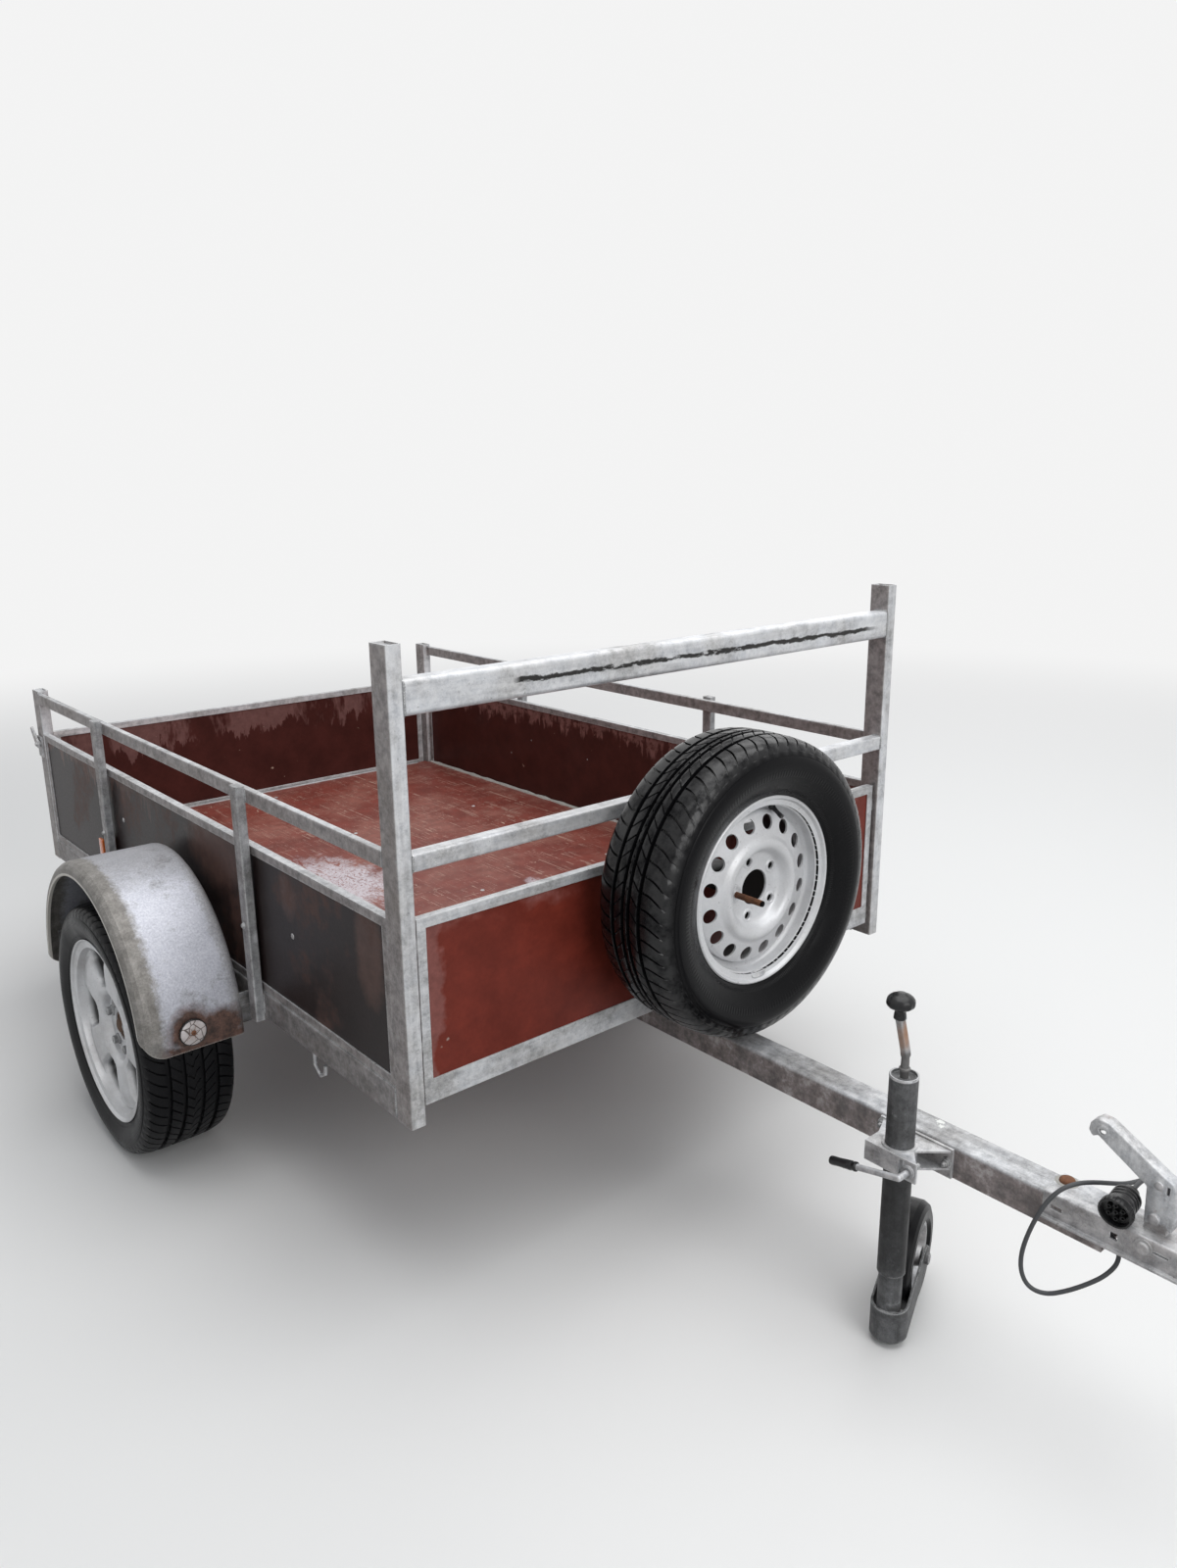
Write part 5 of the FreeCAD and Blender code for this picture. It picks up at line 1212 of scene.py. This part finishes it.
def cut(piece, cutter):
    """Cut one finished piece by another and drop the cutter."""
    change = piece.modifiers.new("cut", "BOOLEAN")
    change.object = cutter
    change.solver = "EXACT"
    bpy.context.view_layer.update()
    graph = bpy.context.evaluated_depsgraph_get()
    mesh = bpy.data.meshes.new_from_object(piece.evaluated_get(graph))
    piece.modifiers.clear()
    old = piece.data
    piece.data = mesh
    bpy.data.meshes.remove(old)
    mesh.shade_smooth()
    mesh.set_sharp_from_angle(angle=math.radians(38))
    bpy.data.objects.remove(cutter)


def cutter_object(shape):
    """A plain object from a shape, used only to cut."""
    mesh = bpy.data.meshes.new("cutter")
    mesh.from_pydata(shape.points, [], shape.faces)
    work = bmesh.new()
    work.from_mesh(mesh)
    bmesh.ops.remove_doubles(work, verts=work.verts, dist=2e-6)
    bmesh.ops.recalc_face_normals(work, faces=work.faces)
    work.to_mesh(mesh)
    work.free()
    return add_object("cutter", mesh)


def make_spare_rim():
    """The steel spare wheel: a pressed disc with sixteen vents in a rolled barrel."""
    face = (SPARE_CENTRE[0], SPARE_DISC_Y, SPARE_CENTRE[2])
    place = seat(face, (0, -1, 0))
    shape = Shape()
    shape.lathe(SPARE_DISC, place, 160, closed=True)
    disc = shape.piece("spare_disc", rim_silver)
    holes = Shape()
    # columns: pitch radius, count, first angle, hole radius
    for circle, count, first, radius in ((128.5, 16, 11.25, 14.2), (BOLT_CIRCLE, 5, 36.0, 7.4)):
        for number in range(count):
            angle = math.radians(first + 360.0 / count * number)
            middle = place @ Vector(polar(circle, angle, 0))
            hole = Matrix.Translation(middle) @ place.to_3x3().to_4x4()
            holes.lathe([(0, -25), (radius, -25), (radius, 25), (0, 25)], hole, 40)
    cut(disc, cutter_object(holes))
    barrel = Shape()
    barrel.lathe(SPARE_BARREL, seat(SPARE_CENTRE, (0, -1, 0)), 160, closed=True)
    barrel.piece("spare_barrel", rim_silver, node="spare_rim")
    seats = Shape()
    for number in range(5):
        angle = math.radians(36 + 72 * number)
        middle = place @ Vector(polar(BOLT_CIRCLE, angle, 0))
        ring = Matrix.Translation(middle) @ place.to_3x3().to_4x4()
        seats.lathe([(7.4, -3), (7.6, -0.4), (9.5, 2.2), (12, 2.0), (14.2, 0)], ring, 40)
    seats.piece("spare_bolt_seats", rim_silver)
    valve = Shape()
    angle = math.radians(75)
    out, up = polar(157, angle)
    spot = Vector((SPARE_CENTRE[0] + out, -180.0, SPARE_CENTRE[2] + up))
    valve.lathe([(0, -2), (7, -2), (7.5, 2), (5, 5), (4, 14), (4, 22), (4.6, 22.5), (4.6, 31), (3.6, 32),
                 (0, 32)], seat(spot, (-0.5 * math.cos(angle), -1, -0.5 * math.sin(angle))), 24)
    valve.piece("spare_valve", black_plastic)
    weight = Shape()
    rows = []
    for step in range(13):
        part = step / 6 - 1
        turn = math.radians(268 + 7.0 * part)
        wide = 7.0 * math.sqrt(max(0.0, 1 - part ** 4)) + 0.3
        # The flange's slope runs from radius 163, height 57, to radius 175, height 67
        section = ((-wide, -0.5), (-wide, 1.6), (-wide * 0.7, 2.6), (wide * 0.7, 2.6), (wide, 1.6),
                   (wide, -0.5))
        rows.append([polar(169 + 0.77 * across - 0.64 * lift, turn, 61.8 + 0.64 * across + 0.77 * lift)
                     for across, lift in section])
    place = seat(SPARE_CENTRE, (0, -1, 0))
    weight.grid(rows, place, around=True)
    for row in (rows[0], rows[-1]):
        weight.add(row, [tuple(range(6))], place)
    weight.piece("spare_balance_weight", zinc_plated, sharp=50)


def make_thread():
    """The rusty threaded rod that holds the spare, with its washer."""
    start = Vector((SPARE_CENTRE[0] - 56.0, -178.0, SPARE_CENTRE[2]))
    shape = Shape()
    place = seat(start, (0, -1, 0))
    end = add_thread(shape, place, 20, 26, 2.6, 5.6, 0.55)
    shape.add(end, [tuple(range(len(end)))], place)
    shape.piece("spare_rod_thread", rust_brown, sharp=60)
    seal = Shape()
    seal.lathe([(0, 0), (19, 0), (18.4, 1.8), (12, 2.6), (7, 3.2), (6.2, 5.5), (0, 5.5)],
               seat((start.x, -177.2, start.z), (0, -1, 0)), 40)
    seal.piece("spare_rod_washer", zinc_plated)


# Small pieces of the frame
def make_welds():
    """Weld beads where the tubes of the frame meet."""
    shape = Shape()
    for side in SIDES:
        x = side * 663
        inner = side * 633
        # The rack rail's ends, the sills' ends and the bars' ends on the posts
        for y in (50, 1950):
            add_weld(shape, (inner + side * 14, y, 879), (inner + side * 28, y, 879), 2.4)
            add_weld(shape, (inner + side * 14, y, 848), (inner + side * 28, y, 848), 2.4)
            add_weld(shape, (x - side, y, 442), (x - side, y, 385), 2.8)
            add_weld(shape, (x - side, y, 758), (x - side * 16, y, 759), 2.6)
        for z0, z1 in ((1163, 1107), (874, 847)):
            add_weld(shape, (inner, -0.2, z0), (inner, -0.2, z1), 2.6)
            add_weld(shape, (inner, 2, z1 - 2), (inner, 26, z1 - 2), 2.4)
        add_weld(shape, (inner, 3, 1165.5), (inner, 36, 1165.5), 2.6)
        add_weld(shape, (inner, 3, 876.5), (inner, 26, 876.5), 2.6)
        # The front panel's tabs
        for z in (425, 513, 698):
            for edge in (z, z + 24):
                add_weld(shape, (inner, 12.5, edge), (inner - side * 6, 12.5, edge), 2.4)
            add_weld(shape, (inner - side * 6, 12.0, z + 2), (inner - side * 6, 12.0, z + 22), 2.2)
        # The uprights on the sill and on the board's frame
        for y in (585, 1425):
            for edge in (-15, 15):
                add_weld(shape, (x, y + edge, 436), (x, y + edge, 392), 2.6)
                add_weld(shape, (x, y + edge, 876), (x, y + edge, 850), 2.2)
            add_weld(shape, (x + side, y - 13, 442), (x + side, y + 13, 442), 2.0)
        # The rear sill
        add_weld(shape, (inner, 1960, 442), (inner, 1996, 442), 2.6)
        add_weld(shape, (inner, 2000, 440), (inner, 2000, 386), 2.6)
    # The drawbar under the first cross member
    for side in SIDES:
        add_weld(shape, (side * 30, 72, 397), (side * 30, 108, 397), 2.8)
        add_weld(shape, (side * 30, -6, 397), (side * 30, 0, 397), 2.4)
    for x in (-26, 32):
        add_weld(shape, (x, -1, 858), (x + 0.5, -1, 848), 2.4)
    shape.piece("frame_welds", bolt_steel, sharp=70)


def make_frame_screws():
    """Bolts in the uprights, rivets in the side boards and screws in the floor."""
    shape = Shape()
    for side in SIDES:
        for y in (585, 1425):
            add_bolt(shape, (side * 683, y + 3, 589), (side, 0, 0), 8, 4.5, 6.5)
        for y, z in ((1455, 577), (1066, 624), (1345, 637), (420, 610)):
            add_rivet(shape, (side * 647.6, y, z), (-side, 0, 0), 5.5, 2.4)
            add_rivet(shape, (side * 657.4, y, z), (side, 0, 0), 6.0, 2.2)
    for x in (-420, 0, 420):
        for y in (90, 720, 1360, 1880):
            shape.lathe([(5.6, 0.1), (5.4, 0.7), (3, 1.0), (2.4, 0.3), (0, 0.3)], seat((x, y, 457)), 20)
    shape.piece("frame_screws", zinc_plated)


def make_sealant():
    """A bead of pale sealant along the floor's edges."""
    shape = Shape()
    for side in SIDES:
        x = side * 641.5
        profile = ((0, 0), (0, 7), (-side * 3, 5.5), (-side * 6.5, 0))
        rows = []
        count = 70
        for step in range(count + 1):
            y = 56 + (1944 - 56) * step / count
            swell = 1.0 + 0.18 * math.sin(step * 1.7) + 0.12 * math.sin(step * 4.1)
            rows.append([(x + a * swell, y, 456.6 + b * swell) for a, b in profile])
        shape.grid(rows, around=True)
    rows = []
    for step in range(61):
        x = -600 + 1200 * step / 60
        swell = 1.0 + 0.15 * math.sin(step * 1.9) + 0.12 * math.sin(step * 4.3)
        rows.append([(x, 29.2, 456.6), (x, 29.2, 456.6 + 6 * swell), (x, 29.2 + 6 * swell, 456.6)])
    shape.grid(rows, around=True)
    shape.piece("floor_sealant", pale_sealant, sharp=50)


def make_floor_strip():
    """The bright edge strip along the rear of the floor, inside the tailgate."""
    shape = Shape()
    shape.box((-596, 1958, 456.4), (596, 1966, 459.5))
    shape.piece("floor_edge_strip", zinc_across, bevel=0.8)


# Mudguards' reflectors and lamps
def make_front_reflectors():
    """White round reflectors with a dark rim and a rusty screw, on the mudguards' fronts."""
    lenses = Shape()
    rims = Shape()
    screws = Shape()
    for side in SIDES:
        origin = (side * 802, 613.9, 381)
        place = seat(origin, (0, -1, 0))
        rims.lathe([(28, -1), (28.6, 1), (28.6, 5.2), (27.4, 6.2), (26.4, 5.6), (26.4, 3)], place, 64)
        profile = [(26.6, 3.5), (26.4, 5.4), (24, 6.4), (15, 7.2), (8, 7.4), (6.5, 6.6), (0, 6.6)]
        lenses.lathe(profile, place, 64)
        screws.lathe([(5.4, 6.2), (5.0, 8.2), (3.2, 9.2), (1.8, 9.3), (1.6, 8.4), (0, 8.4)], place, 24)
        for number in range(7):
            angle = math.radians(18 + 51.4 * number + 9 * math.sin(3 * number))
            reach = 12 + 7 * ((number * 5) % 3) / 2
            # A raised sliver 1 mm wide at the screw, which comes to a point
            side_x, side_y = polar(0.5, angle + math.pi / 2)
            foot_x, foot_y = polar(6.5, angle)
            screws.prism([(foot_x - side_x, foot_y - side_y), polar(reach, angle),
                          (foot_x + side_x, foot_y + side_y)], 6.9, 7.75, place)
    lenses.piece("front_reflector_lenses", white_lens, node="front_reflectors")
    rims.piece("front_reflector_rims", black_plastic)
    screws.piece("front_reflector_screws", rust_brown)


def side_view(node):
    """A node's lowest and highest y, and lowest and highest z, in the drawing frame."""
    low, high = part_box(node)
    return low[1] * 1000 - SHIFT_Y, high[1] * 1000 - SHIFT_Y, low[2] * 1000, high[2] * 1000


def make_side_reflectors():
    """Amber reflectors in dark holders on the side boards."""
    lenses = Shape()
    holders = Shape()
    y0, y1, z0, z1 = side_view("side_reflectors")
    for side in SIDES:
        # The holder stands on the board's face and the lens on the holder
        low, high = sorted((side * 657.5, side * 670.5))
        holders.box((low, y0, z0), (high, y1, z1))
        low, high = sorted((side * 670.5, side * 679.0))
        lenses.box((low, y0 + 1.5, z0 + 1.5), (high, y1 - 1.5, z1 - 1.5))
    lenses.piece("side_reflector_lenses", amber_lens, node="side_reflectors", bevel=2.5, steps=3)
    holders.piece("side_reflector_holders", black_plastic, bevel=1.5)


def make_tail_lamps():
    """Tail lamps: a black housing with an amber and a red field and two screws."""
    housings = Shape()
    ambers = Shape()
    reds = Shape()
    screws = Shape()
    y0, y1, z0, z1 = side_view("tail_lamps")
    # From the inner to the outer end of a lamp, and the width of its amber field
    x_in = 400.0
    x_out = 610.0
    amber = 66.0
    for side in SIDES:
        edges = sorted((side * x_in, side * x_out))
        housings.box((edges[0], y0, z0), (edges[1], y1 - 20, z1))
        split = side * (x_out - amber)
        rim = sorted((side * (x_out - 4), split))
        ambers.box((rim[0] + 0.5, y1 - 21, z0 + 4), (rim[1] - 0.5, y1 - 1, z1 - 5))
        field = sorted((split, side * (x_in + 4)))
        reds.box((field[0] + 0.5, y1 - 21, z0 + 4), (field[1] - 0.5, y1 - 1, z1 - 5))
        for x in (split, side * (x_in + 20)):
            add_rivet(screws, (x, y1 - 1.4, (z0 + z1) / 2), (0, 1, 0), 4.0, 1.4)
    housings.piece("tail_lamp_housings", black_plastic, node="tail_lamps", bevel=3.0)
    ambers.piece("tail_lamp_ambers", amber_lens, bevel=4.0, steps=3)
    reds.piece("tail_lamp_reds", red_lens, bevel=4.0, steps=3)
    screws.piece("tail_lamp_screws", zinc_plated)


# Coupling, plug and jack
PLUG_WAY = (-0.985, -0.05, -0.16)


def make_plug():
    """The seven-pin plug: a ribbed grip, a wide front ring and a recessed face with pin sleeves."""
    place = seat(LEAD_ROUTE[-1], PLUG_WAY)
    body = Shape()
    profile = [(0, 0), (7, 0), (9.5, 0.8), (11.5, 2.5), (13, 6), (13, 12), (15, 14), (19.5, 15),
               (20.8, 17), (21.2, 22), (20.2, 23.4), (21.2, 25), (21.2, 29), (20.2, 30.4), (21.2, 32),
               (21.2, 36), (20.2, 37.4), (21.2, 39), (21.5, 44), (22.2, 46.5), (23.6, 48), (24.6, 49),
               (25, 51), (25, 60.5), (24.4, 61.8), (23, 62), (21.6, 61.6), (21.0, 60), (20.8, 51.5),
               (19, 51), (0, 51)]
    body.lathe(profile, place, 72)
    for number in range(24):
        angle = ROUND * number / 24
        rib = place @ Matrix.Rotation(angle, 4, "Z")
        body.box((-1.1, 23.8, 50.5), (1.1, 25.2, 60.8), rib)
    body.box((-3.5, 19.5, 50), (3.5, 22.5, 61.4), place)
    # columns: distance from the axis, angle
    for out, turn in ((0, 0), (12, 0), (12, 60), (12, 120), (12, 180), (12, 240), (12, 300)):
        angle = math.radians(turn + 30)
        pin = place @ Matrix.Translation(Vector(polar(out, angle, 0)))
        body.lathe([(3.6, 50.8), (3.6, 57.5), (3.1, 58), (2.2, 57.6), (2.1, 52), (0, 52)], pin, 20)
    return body.piece("plug_body", black_plastic, node="plug", sharp=42)


def make_coupling_details():
    """Rivets and the lever's pin heads, the top bolt in its ring of sealant, and the cup's skirt."""
    rivets = Shape()
    for side in SIDES:
        add_rivet(rivets, (side * 37.8, -966, 384), (side, 0, 0), 9.5, 3.4)
        rivets.lathe([(14, 0), (14, 1.2), (10, 1.6)], seat((side * 34, -966, 384), (side, 0, 0)), 32)
        add_rivet(rivets, (side * 15.8, -968, 423), (side, 0, 0), 8.8, 3.2)
        add_rivet(rivets, (side * 12.0, -968, 477), (side, 0, 0), 7.0, 2.6)
    rivets.piece("coupling_rivets", zinc_plated)
    top = Shape()
    top.lathe([(0, 7.0), (6, 6.8), (9.5, 5.8), (11.5, 4.0), (12.3, 2.0), (12.5, -0.5)],
              seat((12, -826, 401)), 40)
    top.piece("coupling_bolt", rust_brown)
    ring = Shape()
    ring.lathe([(12.0, 0.9), (17.2, 0.8), (18.0, 0.2), (18.0, -0.5)], seat((12, -826, 401)), 40)
    ring.piece("coupling_bolt_ring", pale_sealant)
    rim = Shape()
    rim.lathe([(25.4, 357), (41, 357), (42, 358), (42, 360.5), (40.5, 361.3), (37, 361.3)],
              seat((0, -1080, 0)), 72)
    rim.piece("coupling_skirt", zinc_plated)


# The lever's side outline, as the solid's. Columns: y, z
LEVER = ((-859.0, 519.0), (-861.0, 532.0), (-872.0, 542.0), (-888.0, 541.0), (-975.0, 493.0),
         (-989.0, 487.0), (-994.0, 476.0), (-996.0, 440.0), (-992.0, 409.0), (-980.0, 418.0),
         (-953.0, 409.0), (-951.0, 468.0), (-887.0, 507.0), (-874.0, 515.0), (-866.0, 510.0))
LEVER_HOLLOW = ((-850.0, 500.0), (-864.0, 530.0), (-872.0, 539.0), (-887.0, 538.0), (-974.0, 490.0),
                (-987.0, 484.5), (-991.4, 475.0), (-993.4, 440.0), (-989.0, 400.0), (-940.0, 400.0))


def make_lever():
    """The pressed lever with rounded back edges, a rolled eye and a slot."""
    along_x = Matrix.Translation(at(0, 0, 0)) @ Matrix(((0, 0, 1, 0), (1, 0, 0, 0), (0, 1, 0, 0),
                                                        (0, 0, 0, 1))) @ Matrix.Scale(0.001, 4)
    shape = Shape()
    shape.prism(LEVER, -12.0, 12.0, along_x)
    lever = shape.piece("coupling_lever_pressing", zinc_lever, node="coupling_lever", bevel=2.6, steps=3)
    inside = Shape()
    inside.prism(LEVER_HOLLOW, -9.5, 9.5, along_x)
    cut(lever, cutter_object(inside))
    bores = Shape()
    bores.lathe([(0, -30), (5, -30), (5, 30), (0, 30)], seat((0, -881, 525), (1, 0, 0)), 32)
    bores.box((-30, -984, 468), (30, -980, 481))
    cut(lever, cutter_object(bores))
    eyes = Shape()
    for side in SIDES:
        eyes.lathe([(5, -0.5), (5, 0.8), (6.5, 1.6), (9, 1.3), (10.5, 0)],
                   seat((side * 12, -881, 525), (side, 0, 0)), 36)
    eyes.piece("coupling_lever_eyes", zinc_lever)


JACK_X = -80.0
JACK_Y = -583.0


def make_jack_crank():
    """The crank: a round screw end, then a flat-sided bar that leans to the knob."""
    shape = Shape()
    shape.lathe([(0, 100), (7, 100), (7, 526), (9.5, 527), (9.5, 531), (7, 532), (6.6, 556), (0, 558)],
                seat((JACK_X, JACK_Y, 0)), 32)
    foot = Vector((JACK_X, JACK_Y, 548.0))
    bend = Vector((JACK_X - 0.5, JACK_Y + 1.0, 563.0))
    tip = Vector((JACK_X - 8.0, JACK_Y + 10.0, 621.0))
    wide = 7.0
    flat = 6.2
    section = ((-1, -0.8), (-0.8, -1), (0.8, -1), (1, -0.8), (1, 0.8), (0.8, 1), (-0.8, 1), (-1, 0.8))
    rows = []
    for spot, grow in ((foot, 0.75), (foot + Vector((0, 0, 6)), 1.0), (bend, 1.0), (tip, 0.98)):
        rows.append([spot + Vector((a * wide * grow, b * flat * grow, 0)) for a, b in section])
    shape.grid(rows, around=True)
    for row in (rows[0], rows[-1]):
        shape.add(row, [tuple(range(8))])
    shape.piece("jack_crank_bar", zinc_crank, "jack_mast", "jack_crank", sharp=30)


def make_jack_knob():
    """The mushroom knob with a flattened top and grip notches."""
    foot = (JACK_X - 8.0, JACK_Y + 10.0, 618.0)
    shape = Shape()
    profile = [(0, 0), (9.6, 0), (10.5, 1), (10.2, 6), (9.2, 12), (9.8, 15.5), (13, 18), (18.5, 20.5),
               (21.8, 23), (23.3, 26), (23.5, 29.5), (22.9, 33), (21, 36.4), (17.5, 39.6), (12.8, 42),
               (10, 43), (8.4, 44.6), (5, 45.7), (0, 46)]
    steps = 72
    rows = []
    for radius, height in profile:
        row = []
        for step in range(steps):
            angle = ROUND * step / steps
            notch = 0.8 * max(0.0, math.cos(12 * angle)) if 19 < height < 36 else 0.0
            row.append(polar(radius - notch, angle, height))
        rows.append(row)
    shape.grid(rows, seat(foot), around=True)
    shape.piece("jack_knob_cap", black_plastic, "jack_mast", "jack_knob", sharp=50)


def make_jack_details():
    """The tube's bright rim, the clamp's bolts and screw, the handle's grip and the wheel's nuts."""
    upright = seat((JACK_X, JACK_Y, 0))
    rim = Shape()
    rim.lathe([(21, 514.5), (21.2, 518.6), (22.2, 519.4), (23.4, 519.2), (24.3, 518), (24.4, 515.5),
               (24, 514.8)], upright, 64)
    rim.piece("jack_tube_rim", zinc_plated, "jack_mast")
    bolts = Shape()
    # columns: y, z of the bolts through the clamp's plate
    for y, z in ((-646, 367), (-519, 381)):
        add_bolt(bolts, (-35, y, z), (-1, 0, 0), 13, 6.5, 10, 4)
    add_bolt(bolts, (-35, -560, 347), (-1, 0, 0), 10, 4, 0)
    bolts.piece("jack_clamp_bolts", bolt_steel, bevel=0.3)
    bend = Vector((-140.0, -624.0, 372.0))
    end = bend + Vector((0, 131, -31))
    along = (end - bend).normalized()
    grip = Shape()
    place = seat(end - along * 52, along)
    grip.lathe([(5.5, -1), (6.8, -0.5), (8.2, 1), (8.4, 4), (7.6, 6), (7.6, 9), (8.4, 11), (8.0, 20),
                (7.4, 36), (7.8, 50), (7.2, 53.5), (5, 54.8), (0, 55)], place, 36)
    grip.piece("jack_handle_grip", black_plastic, node="jack_clamp_grip")
    screw = Shape()
    screw.lathe([(11, 0), (11.6, 1), (11.6, 2.6), (10.8, 3.6), (6, 3.6)],
                seat((-115, -624, 372), (-1, 0, 0)), 40)
    add_thread(screw, seat((-106, -624, 372), (1, 0, 0)), 18, 10, 2.0, 4.9, 0.45)
    screw.piece("jack_clamp_screw", bolt_steel, sharp=50)
    heading = math.radians(20.0)
    axis = Vector((-math.sin(heading), math.cos(heading), 0))
    middle = Vector((JACK_X + 123.0 * math.cos(heading), JACK_Y + 123.0 * math.sin(heading), 97.0))
    nuts = Shape()
    for turn in (1, -1):
        add_bolt(nuts, middle + axis * 32.5 * turn, axis * turn, 19, 7)
    nuts.piece("jack_wheel_nuts", bolt_steel, "jack_leg", bevel=0.4)


def make_latches():
    """The tailgate latches' rivets and pivots."""
    shape = Shape()
    for side in SIDES:
        x = side * 667
        for z in (697, 743):
            add_rivet(shape, (x, 1966, z), (side, 0, 0), 3.2, 1.6)
        add_bolt(shape, (side * 676, 1978, 728), (side, 0, 0), 11, 4.0)
    shape.piece("latch_rivets", zinc_plated)


# The scene
make_camera()
make_stage()
paint_nodes()
plug = make_plug()
make_lead()
for number, side in (("left", 1), ("right", -1)):
    middle = (side * ROAD_CENTRE[0], *ROAD_CENTRE[1:])
    make_tyre("road_tyre_" + number, "tyre_" + number, "wheel_" + number, middle, (side, 0, 0),
              ROAD_TYRE, 66, road_rubber)
    make_road_rim("road_rim_" + number, "wheel_rim_" + number, "wheel_" + number, side)
make_tyre("spare_tyre_rubber", "spare_tyre", "trailer", SPARE_CENTRE, (0, -1, 0), SPARE_TYRE, 64,
          spare_rubber)
make_spare_rim()
make_thread()
make_welds()
make_frame_screws()
make_sealant()
make_floor_strip()
make_front_reflectors()
make_side_reflectors()
make_tail_lamps()
make_coupling_details()
make_lever()
make_jack_crank()
make_jack_knob()
make_jack_details()
make_latches()
